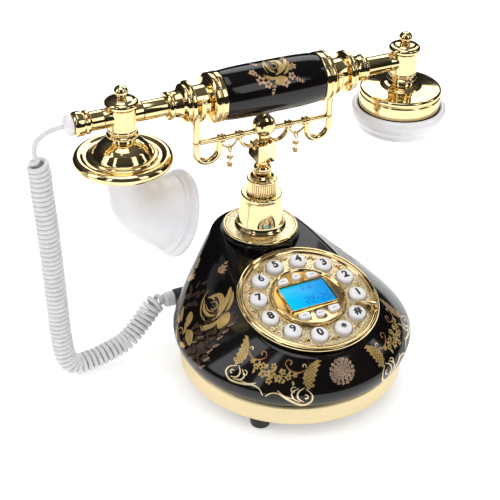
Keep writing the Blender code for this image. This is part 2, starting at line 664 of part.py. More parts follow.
def horn_rings(bm, radii, route, sides):
    points = [Vector(p) for p in route]
    rings = []
    for k, point in enumerate(points):
        before = points[max(k - 1, 0)]
        after = points[min(k + 1, len(points) - 1)]
        tangent = (after - before).normalized()
        across = Vector((0, 1, 0))
        up = tangent.cross(across)
        ring = []
        for s in range(sides):
            angle = 2 * math.pi * s / sides
            ring.append(bm.verts.new(point + radii[k] * (across * math.cos(angle) + up * math.sin(angle))))
        rings.append(ring)
    return rings


def build_horn():
    """The bent speaking horn: an outer and an inner skin that meet at the mouth, closed at the throat."""
    bm = bmesh.new()
    sides = 24
    outer = horn_rings(bm, HORN_RADII, HORN_ROUTE, sides)
    inner = horn_rings(bm, [r - 2.2 for r in HORN_RADII[3:]], HORN_ROUTE[3:], sides)
    chain = outer + inner[::-1]
    for first, second in zip(chain, chain[1:]):
        for s in range(sides):
            after = (s + 1) % sides
            bm.faces.new((first[s], first[after], second[after], second[s]))
    bm.faces.new(outer[0])
    bm.faces.new(inner[0])
    finish("mouth_horn", bm, white_plastic(), at(HORN_X, NECK_Y, 0))
    end = Vector(HORN_ROUTE[5])
    direction = (Vector(HORN_ROUTE[6]) - Vector(HORN_ROUTE[4])).normalized()
    turn = Vector((0, 0, 1)).rotation_difference(direction).to_matrix().to_4x4()
    place = at(HORN_X + end.x, NECK_Y, end.z) @ turn
    capsule = [(0, -3.0), (17.0, -3.0), (19.4, 0.0), (19.4, 2.0), (17.6, 2.6), (0, 2.6)]
    finish("mic_capsule", lathe(capsule, 24), dark_plastic(), place)


def build_earpiece():
    housing = [(0, 182.1), (9.0, 182.1), (9.6, 180.4), (12.6, 178.2), (14.0, 177.4), (27.5, 176.3), (28.7, 175.2),
               (28.7, 162.9), (25.4, 162.9), (25.4, 173.4), (0, 173.4)]
    finish("ear_housing", lathe(housing, ROUND), gold(), at(EAR_X, NECK_Y, 0))
    cap = [(29.0, 162.6), (31.2, 163.6), (33.2, 162.4), (33.8, 159.0), (32.8, 154.4), (30.6, 150.6), (29.6, 149.6),
           (29.2, 147.8), (26.0, 145.4), (10.0, 147.6), (0, 148.2), (0, 150.4), (10.0, 149.8), (24.6, 148.6),
           (26.4, 151.4), (29.0, 157.4)]
    ear_cap = finish("ear_cap", lathe(cap, ROUND), white_plastic(), at(EAR_X, NECK_Y, 0))
    for k in range(7):
        radius = 6.0 if k else 0.0
        angle = math.radians(60 * k)
        hole = lathe([(0, 140), (1.3, 140), (1.3, 155), (0, 155)], 8)
        boolean(ear_cap, "DIFFERENCE", hole,
                at(EAR_X + radius * math.cos(angle), NECK_Y + radius * math.sin(angle), 0))
    capsule = [(0, 155.0), (18.0, 155.0), (22.6, 157.0), (22.6, 160.4), (18.0, 164.0), (10.0, 165.0), (0, 165.0)]
    finish("speaker_capsule", lathe(capsule, 24), dark_plastic(), at(EAR_X, NECK_Y, 0))


# ---------------------------------------------------------------- cord

LEAD_ROUTE = ((-141.1, CORD_Y, AXIS_Z), (-147.0, CORD_Y, 196.0), (-153.6, CORD_Y, 193.8), (-158.6, CORD_Y, 189.6),
              (-160.4, CORD_Y, 183.6), (-159.8, CORD_Y, 178.6))
COIL_ROUTE = ((-159.6, CORD_Y, 178.2), (-157.8, CORD_Y, 168.0), (-156.9, CORD_Y, 150.5), (-155.2, CORD_Y, 124.1),
              (-153.9, CORD_Y, 96.8), (-152.7, CORD_Y, 68.5), (-151.4, CORD_Y, 39.0), (-149.2, CORD_Y, 20.0),
              (-143.6, CORD_Y + 0.2, 10.4), (-134.0, CORD_Y + 0.8, 9.0), (-118.0, CORD_Y + 2.6, 10.6),
              (-102.0, CORD_Y + 5.4, 14.2), (-88.0, CORD_Y + 9.2, 24.4), (-77.4, SOCKET_Y - 0.2, 34.6),
              (-70.4, SOCKET_Y, SOCKET_Z))


def cord_tube(name, route, diameter):
    """A tube along the smooth curve through the route's points."""
    curve = bpy.data.curves.new(name, "CURVE")
    curve.dimensions = "3D"
    curve.bevel_depth = diameter / 2 * MM
    curve.bevel_resolution = 2
    curve.use_fill_caps = True
    points = smooth_path(route, 3)
    spline = curve.splines.new("POLY")
    spline.points.add(len(points) - 1)
    for target, point in zip(spline.points, points):
        target.co = (*(point * MM), 1.0)
    curve.materials.append(cord_plastic())
    bpy.context.scene.collection.objects.link(bpy.data.objects.new(name, curve))


def build_cord():
    cord_tube("cord_lead", LEAD_ROUTE, LEAD_DIAMETER)
    cord_tube("curly_cord", COIL_ROUTE, COIL_DIAMETER)
    boot = [(0, -46.0), (4.0, -46.0), (4.0, -62.2), (5.0, -62.6), (5.0, -65.0), (3.6, -70.0), (0, -70.0)]
    finish("cord_plug", lathe(boot, 16), cord_plastic(), along_x(0, SOCKET_Y, SOCKET_Z))


def main():
    clear_scene()
    build_base()
    build_body()
    build_dial()
    build_neck()
    build_plunger()
    build_cradle()
    build_pendants()
    build_grip()
    build_tees()
    build_mouthpiece()
    build_earpiece()
    build_cord()


main()
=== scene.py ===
import math

import bmesh
import bpy
from mathutils import Matrix, Vector
from mathutils.bvhtree import BVHTree


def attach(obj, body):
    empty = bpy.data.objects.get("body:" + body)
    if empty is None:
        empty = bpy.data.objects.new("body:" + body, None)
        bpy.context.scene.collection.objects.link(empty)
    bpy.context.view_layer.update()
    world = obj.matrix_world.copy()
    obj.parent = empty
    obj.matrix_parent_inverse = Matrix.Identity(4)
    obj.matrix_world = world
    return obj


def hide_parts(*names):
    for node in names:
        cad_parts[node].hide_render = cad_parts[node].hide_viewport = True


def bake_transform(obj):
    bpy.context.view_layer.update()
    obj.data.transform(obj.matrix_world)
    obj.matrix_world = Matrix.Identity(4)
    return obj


# The finished look of the cradle telephone. Lengths are in millimetres and are turned into metres where a
# mesh is made. The base stands on Z = 0 at the origin, its dial faces -Y, and the handset lies along X.

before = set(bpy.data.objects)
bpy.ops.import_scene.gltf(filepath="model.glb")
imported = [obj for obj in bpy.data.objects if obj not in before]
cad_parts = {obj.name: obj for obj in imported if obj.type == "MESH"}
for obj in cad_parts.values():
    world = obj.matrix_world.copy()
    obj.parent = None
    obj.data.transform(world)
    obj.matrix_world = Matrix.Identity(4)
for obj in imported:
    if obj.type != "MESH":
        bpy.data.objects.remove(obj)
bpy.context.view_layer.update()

MM = 0.001
NECK_Y = 52.4
AXIS_Z = 196.7
HANDSET_X = 2.0
MOUTH_X = -101.8
EAR_X = 107.9
HORN_X = -102.8
DIAL_TILT = math.radians(11.2)
DIAL_CENTRE = Vector((0.0, -20.8, 74.0))
DIAL_RADIUS = 48.6
KEY_CIRCLE = 34.4
BEZEL_OUTER = 26.2
BEZEL_INNER = 24.3
LCD_HALF = (16.6, 10.4)
LCD_CENTRE_V = 1.2
FUNCTION_SLOTS = ((-11.2, 17.2), (0.0, 18.8), (11.2, 17.2), (-11.2, -16.0), (0.0, -17.2), (11.2, -16.0))
FUNCTION_REACH = 23.0
# How many sides a turned piece has, by its size, and how many steps round its corners.
FINE = 128
MEDIUM = 72
SMALL = 40
CORNER_STEPS = 4


# ---------------------------------------------------------------- frames


def at(x, y, z):
    return Matrix.Translation((x, y, z))


def turned(degrees, axis):
    return Matrix.Rotation(math.radians(degrees), 4, axis)


def along_x(x, y, z):
    """A frame whose Z axis points along +X."""
    return at(x, y, z) @ turned(90, "Y")


def dial_frame():
    return at(*DIAL_CENTRE) @ Matrix.Rotation(DIAL_TILT, 4, "X")


def handset_x(x):
    return along_x(HANDSET_X + x, NECK_Y, AXIS_Z)


def key_place(index):
    angle = math.radians(-15 + 30 * index)
    return at(KEY_CIRCLE * math.cos(angle), KEY_CIRCLE * math.sin(angle), 0)


NECK = at(0, NECK_Y, 0)
MOUTH = at(MOUTH_X, NECK_Y, 0)
HORN = at(HORN_X, NECK_Y, 0)
EAR = at(EAR_X, NECK_Y, 0)


# ---------------------------------------------------------------- materials


def new_material(name):
    mat = bpy.data.materials.new(name)
    mat.use_nodes = True
    return mat, mat.node_tree, mat.node_tree.nodes["Principled BSDF"]


def object_noise(tree, scale, detail=3.0, stretch=(1, 1, 1)):
    """Noise over the row frame; scale is in features per metre."""
    place = tree.nodes.new("ShaderNodeTexCoord")
    mapping = tree.nodes.new("ShaderNodeMapping")
    mapping.inputs["Scale"].default_value = stretch
    noise = tree.nodes.new("ShaderNodeTexNoise")
    noise.inputs["Scale"].default_value = scale
    noise.inputs["Detail"].default_value = detail
    tree.links.new(place.outputs["Object"], mapping.inputs["Vector"])
    tree.links.new(mapping.outputs["Vector"], noise.inputs["Vector"])
    return noise.outputs["Fac"]


def object_cells(tree, scale):
    """The distance to the nearest of scattered points; scale is in points per metre."""
    place = tree.nodes.new("ShaderNodeTexCoord")
    cells = tree.nodes.new("ShaderNodeTexVoronoi")
    cells.inputs["Scale"].default_value = scale
    tree.links.new(place.outputs["Object"], cells.inputs["Vector"])
    return cells.outputs["Distance"]


def colour_ramp(tree, factor, stops):
    ramp = tree.nodes.new("ShaderNodeValToRGB")
    elements = ramp.color_ramp.elements
    while len(elements) < len(stops):
        elements.new(0.5)
    for element, (position, colour) in zip(elements, stops):
        element.position = position
        element.color = (*colour, 1.0)
    tree.links.new(factor, ramp.inputs["Fac"])
    return ramp.outputs["Color"]


def value_range(tree, factor, low, high):
    spread = tree.nodes.new("ShaderNodeMapRange")
    spread.inputs["To Min"].default_value = low
    spread.inputs["To Max"].default_value = high
    tree.links.new(factor, spread.inputs["Value"])
    return spread.outputs["Result"]


def add_bump(tree, shader, height, strength, distance):
    bump = tree.nodes.new("ShaderNodeBump")
    bump.inputs["Strength"].default_value = strength
    bump.inputs["Distance"].default_value = distance
    tree.links.new(height, bump.inputs["Height"])
    tree.links.new(bump.outputs["Normal"], shader.inputs["Normal"])


def mottled(name, dark, light, roughness, metallic=0.0, scale=60.0, bump=0.0, bump_scale=900.0, coat=0.0):
    """Two close colours mixed by noise, roughness that varies, and a fine bump."""
    mat, tree, shader = new_material(name)
    tone = object_noise(tree, scale)
    tree.links.new(colour_ramp(tree, tone, [(0.35, dark), (0.65, light)]), shader.inputs["Base Color"])
    smudge = object_noise(tree, scale * 2.3, 5.0)
    tree.links.new(value_range(tree, smudge, *roughness), shader.inputs["Roughness"])
    shader.inputs["Metallic"].default_value = metallic
    shader.inputs["Coat Weight"].default_value = coat
    shader.inputs["Coat Roughness"].default_value = 0.1
    if bump:
        add_bump(tree, shader, object_noise(tree, bump_scale, 4.0), bump, 0.0002)
    return mat


def polished_gold():
    return mottled("polished_gold", (0.90, 0.69, 0.34), (0.95, 0.77, 0.43), (0.03, 0.12), metallic=1.0,
                   scale=45.0, bump=0.05, bump_scale=120.0)


def stippled_gold():
    mat, tree, shader = new_material("stippled_gold")
    tone = object_noise(tree, 500.0)
    tree.links.new(colour_ramp(tree, tone, [(0.35, (0.88, 0.72, 0.42)), (0.65, (0.98, 0.86, 0.60))]),
                   shader.inputs["Base Color"])
    shader.inputs["Metallic"].default_value = 1.0
    shader.inputs["Roughness"].default_value = 0.2
    add_bump(tree, shader, object_cells(tree, 1300.0), 0.6, 0.00025)
    return mat


def satin_gold():
    mat, tree, shader = new_material("satin_gold")
    brushed = object_noise(tree, 300.0, 3.0, (1, 1, 14))
    tree.links.new(colour_ramp(tree, brushed, [(0.3, (0.80, 0.66, 0.38)), (0.7, (0.87, 0.74, 0.47))]),
                   shader.inputs["Base Color"])
    tree.links.new(value_range(tree, brushed, 0.34, 0.5), shader.inputs["Roughness"])
    shader.inputs["Metallic"].default_value = 0.9
    add_bump(tree, shader, brushed, 0.05, 0.0002)
    return mat


def black_lacquer():
    mat = mottled("black_lacquer", (0.004, 0.003, 0.003), (0.008, 0.006, 0.006), (0.07, 0.16), scale=30.0,
                  bump=0.03, bump_scale=260.0, coat=0.9)
    mat.node_tree.nodes["Principled BSDF"].inputs["Specular IOR Level"].default_value = 0.0
    return mat


def lcd_glow():
    """A back-lit display, brighter towards its left."""
    mat, tree, shader = new_material("lcd_glow")
    place = tree.nodes.new("ShaderNodeTexCoord")
    split = tree.nodes.new("ShaderNodeSeparateXYZ")
    tree.links.new(place.outputs["Object"], split.inputs["Vector"])
    spread = value_range(tree, split.outputs["X"], 0.0, 1.0)
    spread.node.inputs["From Min"].default_value = -LCD_HALF[0] * MM
    spread.node.inputs["From Max"].default_value = LCD_HALF[0] * MM
    glow = colour_ramp(tree, spread, [(0.0, (0.0, 0.62, 0.95)), (0.55, (0.0, 0.40, 0.92)),
                                      (1.0, (0.0, 0.28, 0.80))])
    shader.inputs["Base Color"].default_value = (0.0, 0.06, 0.10, 1)
    tree.links.new(glow, shader.inputs["Emission Color"])
    shader.inputs["Emission Strength"].default_value = 0.9
    tree.links.new(value_range(tree, object_noise(tree, 90.0), 0.15, 0.25), shader.inputs["Roughness"])
    shader.inputs["Specular IOR Level"].default_value = 0.15
    return mat


# Each mottled finish: the material's name, its dark and light colour, its roughness, and other settings.
MOTTLED = {
    "key": ("key_white", (0.80, 0.79, 0.80), (0.86, 0.85, 0.86), (0.16, 0.26), dict(bump=0.03, coat=0.4)),
    "cap": ("cap_white", (0.78, 0.77, 0.79), (0.84, 0.83, 0.85), (0.14, 0.24), dict(bump=0.03, coat=0.5)),
    "horn": ("horn_white", (0.76, 0.75, 0.78), (0.82, 0.81, 0.83), (0.34, 0.46), dict(bump=0.05, coat=0.1)),
    "cord": ("cord_jacket", (0.66, 0.66, 0.67), (0.74, 0.74, 0.75), (0.38, 0.5),
             dict(scale=200.0, bump=0.08)),
    "rubber": ("foot_rubber", (0.012, 0.012, 0.012), (0.03, 0.03, 0.03), (0.6, 0.85),
               dict(scale=300.0, bump=0.4)),
    "dark": ("dark_plastic", (0.02, 0.02, 0.022), (0.045, 0.045, 0.05), (0.4, 0.6),
             dict(scale=200.0, bump=0.3)),
    "steel": ("zinc_steel", (0.42, 0.43, 0.45), (0.6, 0.61, 0.62), (0.25, 0.45),
              dict(metallic=1.0, scale=120.0, bump=0.1)),
    "board": ("solder_mask", (0.01, 0.09, 0.03), (0.02, 0.17, 0.06), (0.3, 0.5), dict(scale=400.0, bump=0.2)),
    "segment": ("lcd_segment", (0.0, 0.06, 0.42), (0.0, 0.10, 0.55), (0.2, 0.3), dict()),
    "ink": ("black_ink", (0.006, 0.006, 0.006), (0.02, 0.02, 0.02), (0.3, 0.5), dict(scale=500.0)),
    "grey_ink": ("grey_ink", (0.16, 0.16, 0.18), (0.26, 0.26, 0.28), (0.3, 0.5), dict(scale=500.0)),
}
# Each metallic ink of the transfers: the material's name, its dark and light colour, and how metallic it is.
INKS = {
    "leaf_gold": ("transfer_gold", (0.50, 0.33, 0.10), (0.66, 0.46, 0.17), 0.6),
    "copper": ("transfer_copper", (0.33, 0.13, 0.05), (0.55, 0.27, 0.12), 0.6),
    "copper_light": ("transfer_rose_gold", (0.50, 0.30, 0.16), (0.70, 0.46, 0.27), 0.5),
    "pale_copper": ("transfer_pale_copper", (0.36, 0.24, 0.16), (0.56, 0.40, 0.28), 0.4),
}
INK_SETTINGS = dict(bump=0.06, coat=0.5)


def make_materials():
    """Every finish by its short name."""
    mats = {"gold": polished_gold(), "stipple": stippled_gold(), "satin": satin_gold(),
            "lacquer": black_lacquer(), "lcd": lcd_glow()}
    for key, (name, dark, light, roughness, settings) in MOTTLED.items():
        mats[key] = mottled(name, dark, light, roughness, **settings)
    for key, (name, dark, light, metallic) in INKS.items():
        mats[key] = mottled(name, dark, light, (0.3, 0.5), metallic=metallic, scale=160.0, **INK_SETTINGS)
    mats["pale_gold"] = mottled("transfer_pale", (0.78, 0.60, 0.32), (0.92, 0.76, 0.48), (0.25, 0.45),
                                metallic=0.5, scale=160.0, **INK_SETTINGS)
    mats["umber"] = mottled("transfer_umber", (0.035, 0.018, 0.008), (0.10, 0.055, 0.025), (0.3, 0.5),
                            metallic=0.4, scale=260.0, **INK_SETTINGS)
    return mats


# ---------------------------------------------------------------- shapes


def finish(name, bm, mat, body, *nodes, place=None, sharp=32):
    """Makes one piece from a mesh in millimetres, and lets it ride on its body in place of the nodes."""
    bmesh.ops.remove_doubles(bm, verts=bm.verts, dist=0.0005)
    bmesh.ops.recalc_face_normals(bm, faces=bm.faces)
    bm.transform(Matrix.Scale(MM, 4) @ (place or Matrix.Identity(4)))
    mesh = bpy.data.meshes.new(name)
    bm.to_mesh(mesh)
    bm.free()
    mesh.materials.append(mat)
    mesh.shade_smooth()
    mesh.set_sharp_from_angle(angle=math.radians(sharp))
    obj = bpy.data.objects.new(name, mesh)
    bpy.context.scene.collection.objects.link(obj)
    if body:
        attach(obj, body)
    if nodes:
        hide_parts(*nodes)
    return obj


def soften(profile, cut):
    """Rounds each corner of a closed (radius, height) profile, apart from those on the axis."""
    points = [Vector(p) for p in profile]
    out = []
    for k, point in enumerate(points):
        before = points[k - 1]
        after = points[(k + 1) % len(points)]
        if point.x < 1e-6:
            out.append(point)
            continue
        start = point + (before - point) * min(cut / max((before - point).length, 1e-6), 0.42)
        end = point + (after - point) * min(cut / max((after - point).length, 1e-6), 0.42)
        for step in range(CORNER_STEPS + 1):
            t = step / CORNER_STEPS
            out.append(start * (1 - t) ** 2 + point * 2 * t * (1 - t) + end * t * t)
    return out


def lathe(profile, segments, cut=0.35, wave=None):
    """A closed profile turned about Z; wave(radius, height, angle) may move a point in or out."""
    bm = bmesh.new()
    rings = []
    for point in soften(profile, cut) if cut else [Vector(p) for p in profile]:
        radius, height = point
        if radius < 1e-6:
            rings.append([bm.verts.new((0.0, 0.0, height))])
            continue
        ring = []
        for k in range(segments):
            angle = 2 * math.pi * k / segments
            reach = wave(radius, height, angle) if wave else radius
            ring.append(bm.verts.new((reach * math.cos(angle), reach * math.sin(angle), height)))
        rings.append(ring)
    for first, second in zip(rings, rings[1:] + rings[:1]):
        if len(first) == 1 and len(second) == 1:
            continue
        for k in range(segments):
            after = (k + 1) % segments
            corners = [first[k % len(first)], first[after % len(first)], second[after % len(second)],
                       second[k % len(second)]]
            bm.faces.new(list(dict.fromkeys(corners)))
    return bm


def smooth_path(route, steps):
    """A Catmull-Rom curve through the route points."""
    points = [Vector(p) for p in route]
    ends = [points[0] * 2 - points[1]] + points + [points[-1] * 2 - points[-2]]
    curve = []
    for a, b, c, d in zip(ends, ends[1:], ends[2:], ends[3:]):
        for step in range(steps):
            t = step / steps
            curve.append(0.5 * (2 * b + (c - a) * t + (2 * a - 5 * b + 4 * c - d) * t ** 2
                                + (3 * b - a - 3 * c + d) * t ** 3))
    curve.append(points[-1])
    return curve


def tangents_of(points):
    out = []
    for k in range(len(points)):
        step = points[min(k + 1, len(points) - 1)] - points[max(k - 1, 0)]
        out.append(step.normalized())
    return out


def bridge(bm, rings):
    """Walls from each closed ring of points to the next."""
    for first, second in zip(rings, rings[1:]):
        for k in range(len(first)):
            after = (k + 1) % len(first)
            bm.faces.new((first[k], first[after], second[after], second[k]))


def ring_of(bm, centre, right, up, sides):
    """A closed ring of points about a centre; right and up are its two half axes."""
    angles = [2 * math.pi * k / sides for k in range(sides)]
    return [bm.verts.new(centre + right * math.cos(a) + up * math.sin(a)) for a in angles]


def sweep(path, radius, sides, squash=1.0, across=None):
    """A rod along the path with domed ends. radius is a number, or one for each point."""
    bm = bmesh.new()
    points = [Vector(p) for p in path]
    tangents = tangents_of(points)
    side = Vector(across) if across else tangents[0].orthogonal().normalized()
    radii = radius if isinstance(radius, list) else [radius] * len(points)
    rings = []

    def ring(centre, tangent, scale):
        up = tangent.cross(side).normalized()
        out = up.cross(tangent).normalized()
        rings.append(ring_of(bm, centre, out * scale, up * squash * scale, sides))

    for turn in (80, 50, 22):
        lift = math.radians(turn)
        ring(points[0] - tangents[0] * radii[0] * math.sin(lift) * 0.6, tangents[0],
             radii[0] * math.cos(lift))
    for k, point in enumerate(points):
        if k and not across:
            side = tangents[k - 1].rotation_difference(tangents[k]) @ side
        ring(point, tangents[k], radii[k])
    for turn in (22, 50, 80):
        lift = math.radians(turn)
        ring(points[-1] + tangents[-1] * radii[-1] * math.sin(lift) * 0.6, tangents[-1],
             radii[-1] * math.cos(lift))
    bridge(bm, rings)
    bm.faces.new(rings[0][::-1])
    bm.faces.new(rings[-1])
    return bm


def prism(outline, bottom, top, round_top=0.0):
    """An upright prism over an outline; round_top pulls its upper edge in."""
    bm = bmesh.new()
    middle = sum((Vector(p) for p in outline), Vector((0, 0))) / len(outline)
    levels = [(bottom, 0.0)]
    for turn in (0, 30, 60, 90) if round_top else (0,):
        lift = math.radians(turn)
        levels.append((top - round_top * (1 - math.sin(lift)), round_top * (1 - math.cos(lift))))
    rows = []
    for height, inset in levels:
        row = []
        for x, y in outline:
            out = Vector((x, y)) - middle
            x, y = middle + out * max(1 - inset / max(out.length, 0.01), 0.0)
            row.append(bm.verts.new((x, y, height)))
        rows.append(row)
    bridge(bm, rows)
    bm.faces.new(rows[0][::-1])
    bm.faces.new(rows[-1])
    return bm


def rounded_rectangle(half_x, half_y, radius, steps=6):
    outline = []
    for quarter, (sx, sy) in enumerate(((1, 1), (-1, 1), (-1, -1), (1, -1))):
        for step in range(steps + 1):
            angle = math.pi / 2 * (quarter + step / steps)
            outline.append((sx * (half_x - radius) + radius * math.cos(angle),
                            sy * (half_y - radius) + radius * math.sin(angle)))
    return outline


def joined(pieces):
    """One mesh of several solids, each with its own frame."""
    bm = bmesh.new()
    for piece, place in pieces:
        if place is not None:
            piece.transform(place)
        mesh = bpy.data.meshes.new("piece")
        piece.to_mesh(mesh)
        piece.free()
        bm.from_mesh(mesh)
        bpy.data.meshes.remove(mesh)
    return bm


def cut_holes(obj, cutter_bm):
    """Cuts the cutter, in millimetres in the row frame, out of the piece."""
    cutter = finish("cutter", cutter_bm, obj.data.materials[0], None)
    modifier = obj.modifiers.new("holes", "BOOLEAN")
    modifier.operation = "DIFFERENCE"
    modifier.solver = "EXACT"
    modifier.object = cutter
    bpy.context.view_layer.update()
    mesh = bpy.data.meshes.new_from_object(obj.evaluated_get(bpy.context.evaluated_depsgraph_get()))
    obj.modifiers.clear()
    old = obj.data
    obj.data = mesh
    name = old.name
    bpy.data.meshes.remove(old)
    mesh.name = name
    bpy.data.objects.remove(cutter)
    mesh.shade_smooth()
    mesh.set_sharp_from_angle(angle=math.radians(32))


# ---------------------------------------------------------------- base

BULGE_RADIUS = 83.0
BULGE_HEIGHT = 39.4
BODY_FOOT_RADIUS = 76.4
RING_TOP = 27.2
NECK_SEAT_TOP = 87.3
SOCKET_Y = 64.0
SOCKET_Z = 35.6
FOOT_CIRCLE = 67.0
SHELL_WALL = 3.0
BODY_SIDES = 180
DIAL_ROUND = 50.6
NECK_ROUND = 39.5
SHOULDER_Z = 67.2
FRONT_RISE = 0.165
REAR_RISE = 0.16
DIAL_SEAT_DEPTH = 3.0
WELL_RADIUS = DIAL_RADIUS + 0.3


def top_outline(angle):
    """Where the body's shoulder meets its top: a round about the dial, run into one about the neck."""
    out_x = math.sin(angle)
    out_y = -math.cos(angle)
    dial_y = DIAL_CENTRE.y
    share = 1 / (1 + math.exp(-((NECK_Y - dial_y) * out_y - 11.1) / 13.0))
    radius = DIAL_ROUND * (1 - share) + NECK_ROUND * share
    depth = radius * (1 - 0.15 * share)
    return Vector((out_x * radius, dial_y * (1 - share) + NECK_Y * share + out_y * depth))


def body_rings(inset, foot_steps, shoulder_steps, top_steps, count):
    """Rings of the body from its foot up to the middle of its top, moved inwards by inset."""
    angles = [2 * math.pi * k / count for k in range(count)]
    top_middle = Vector((0.0, 15.0))
    rings = []

    def ring(flat_of, height_of):
        row = []
        for angle in angles:
            flat = flat_of(angle)
            row.append(Vector((flat.x, flat.y, height_of(flat) - inset)))
        rings.append(row)

    def base_point(angle, radius):
        return Vector((math.sin(angle), -math.cos(angle))) * (radius - inset)

    def inner(flat):
        return flat - (flat - top_middle).normalized() * inset

    def shoulder_height(flat):
        behind_dial = flat.y - DIAL_CENTRE.y
        return SHOULDER_Z + (REAR_RISE if behind_dial > 0 else FRONT_RISE) * behind_dial

    def top_height(flat):
        tilted = DIAL_CENTRE.z - DIAL_SEAT_DEPTH + math.tan(DIAL_TILT) * (flat.y - DIAL_CENTRE.y)
        return min(tilted, NECK_SEAT_TOP - 0.6)

    for k in range(foot_steps + 1):
        turn = math.pi / 2 * (1 - k / foot_steps)
        radius = BULGE_RADIUS - (BULGE_RADIUS - BODY_FOOT_RADIUS) * (1 - math.cos(turn))
        height = BULGE_HEIGHT - (BULGE_HEIGHT - RING_TOP - 0.3) * math.sin(turn)
        ring(lambda a, r=radius: base_point(a, r), lambda f, z=height: z + inset)
    for k in range(1, shoulder_steps + 1):
        turn = math.pi / 2 * k / shoulder_steps
        across = math.sin(turn) ** 2
        rise = math.sin(turn) ** 1.48

        def flat_at(angle, share=across):
            start = base_point(angle, BULGE_RADIUS)
            return start + (inner(top_outline(angle)) - start) * share

        def height_at(flat, share=rise):
            return BULGE_HEIGHT + (shoulder_height(flat) - BULGE_HEIGHT) * share

        ring(flat_at, height_at)
    for k in range(1, top_steps + 1):
        scale = 1 - 0.2 * k / top_steps
        t = k / top_steps
        share = t * (1.5 - 0.5 * t * t)
        ring(lambda a, s=scale: top_middle + (inner(top_outline(a)) - top_middle) * s,
             lambda f, s=share: shoulder_height(f) * (1 - s) + top_height(f) * s)
    return rings, Vector((0.0, top_middle.y, top_height(top_middle) - inset))


def skin(bm, rings, middle):
    """One skin of the body, closed at the middle of its top; returns its ring at the foot."""
    rows = [[bm.verts.new(p) for p in row] for row in rings]
    bridge(bm, rows)
    top = bm.verts.new(middle)
    edge = rows[-1]
    for k in range(len(edge)):
        bm.faces.new((edge[k], edge[(k + 1) % len(edge)], top))
    return rows[0]


def build_body(mats):
    """The lacquered shell; returns a search tree of its outer surface, on which the transfers are laid."""
    bm = bmesh.new()
    outer = skin(bm, *body_rings(0.0, 10, 28, 8, BODY_SIDES))
    bm.normal_update()
    surface = BVHTree.FromBMesh(bm)
    inner = skin(bm, *body_rings(SHELL_WALL, 4, 8, 3, BODY_SIDES))
    bridge(bm, [outer, inner])
    body = finish("lacquered_body", bm, mats["lacquer"], "base", "body_shell", sharp=50)
    well = lathe([(0, -14), (46.6, -14), (46.6, -2.8), (WELL_RADIUS, -2.8), (WELL_RADIUS, 16), (0, 16)],
                 FINE, 0)
    neck_hole = lathe([(0, 70), (6.0, 70), (6.0, 100), (0, 100)], SMALL, 0)
    cord_hole = lathe([(0, -75), (6.6, -75), (6.6, -30), (0, -30)], SMALL, 0)
    wall_hole = prism(rounded_rectangle(7.3, 6.3, 1.0), -1.0, 30.0)
    wall_place = at(0, SOCKET_Y, SOCKET_Z) @ turned(-90, "X")
    cuts = [(well, dial_frame()), (neck_hole, NECK), (cord_hole, along_x(0, SOCKET_Y, SOCKET_Z)),
            (wall_hole, wall_place)]
    cut_holes(body, joined(cuts))
    seat = [(6.2, 80.0), (28.2, 80.0), (28.2, NECK_SEAT_TOP - 1.0), (27.6, NECK_SEAT_TOP),
            (6.2, NECK_SEAT_TOP)]
    seat_piece = finish("neck_seat", lathe(seat, FINE), mats["lacquer"], "base", place=NECK)
    rim = lathe([(0, -14), (WELL_RADIUS, -14), (WELL_RADIUS, 16), (0, 16)], FINE, 0)
    cut_holes(seat_piece, joined([(rim, dial_frame())]))
    return surface


def build_base(mats):
    ring = [(72.0, 11.0), (77.0, 11.0), (78.3, 12.4), (78.1, 17.0), (77.2, 24.2), (76.4, 25.2), (75.4, 25.6),
            (75.0, 26.2), (75.0, RING_TOP), (72.0, RING_TOP)]
    finish("gold_base_band", lathe(ring, 160, 0.8), mats["satin"], "base", "base_ring")
    # A dark rubber ring in the step at the top of the band, under the body's overhang: painted shadow in the
    # gap between the band and the body.
    shadow_step = [(73.4, 25.0), (75.9, 25.0), (75.9, 27.0), (73.4, 27.0)]
    finish("base_shadow_ring", lathe(shadow_step, 160, 0.2), mats["rubber"], "base")
    plate = [(0, 11.0), (62.0, 11.0), (62.6, 11.8), (63.8, 11.8), (64.4, 11.0), (71.0, 11.0), (71.7, 11.7),
             (71.7, 14.0), (0, 14.0)]
    bottom = finish("bottom_plate", lathe(plate, FINE), mats["dark"], "base", "base_plate")
    vents = [(prism(rounded_rectangle(12.0, 0.9, 0.8), 5.0, 20.0), at(-34, -20 + 4.2 * k, 0))
             for k in range(9)]
    cut_holes(bottom, joined(vents))
    foot = [(0, 0.6), (3.2, 0.6), (3.6, 0), (5.6, 0), (6.6, 0.9), (7.0, 3.0), (7.3, 6.0), (7.6, 10.7),
            (0, 10.7)]
    for name, degrees in (("front_left", 225), ("front_right", 315), ("rear_right", 45), ("rear_left", 135)):
        angle = math.radians(degrees)
        place = at(FOOT_CIRCLE * math.cos(angle), FOOT_CIRCLE * math.sin(angle), 0)
        finish("rubber_foot_" + name, lathe(foot, SMALL), mats["rubber"], "base", "foot_" + name, place=place)


# ---------------------------------------------------------------- dial

SIGN_SIZE = 8.2
SIGN_BOLD = 0.38
KEYS = ("1", "2", "3", "4", "5", "6", "7", "8", "9", "0", "star", "hash")
FUNCTIONS = ("flash", "redial", "mute", "store", "volume", "delete")
SPRAY_CIRCLE = 39.6


def text_mesh(text, size, bold):
    """Flat characters with their middle at the origin."""
    curve = bpy.data.curves.new("sign", "FONT")
    curve.body = text
    curve.size = size
    curve.align_x = "CENTER"
    curve.align_y = "CENTER"
    curve.resolution_u = 6
    curve.offset = bold
    curve.extrude = 0.03
    maker = bpy.data.objects.new("sign_text", curve)
    bpy.context.scene.collection.objects.link(maker)
    bpy.context.view_layer.update()
    mesh = bpy.data.meshes.new_from_object(maker.evaluated_get(bpy.context.evaluated_depsgraph_get()))
    bpy.data.objects.remove(maker)
    bm = bmesh.new()
    bm.from_mesh(mesh)
    bpy.data.meshes.remove(mesh)
    return bm


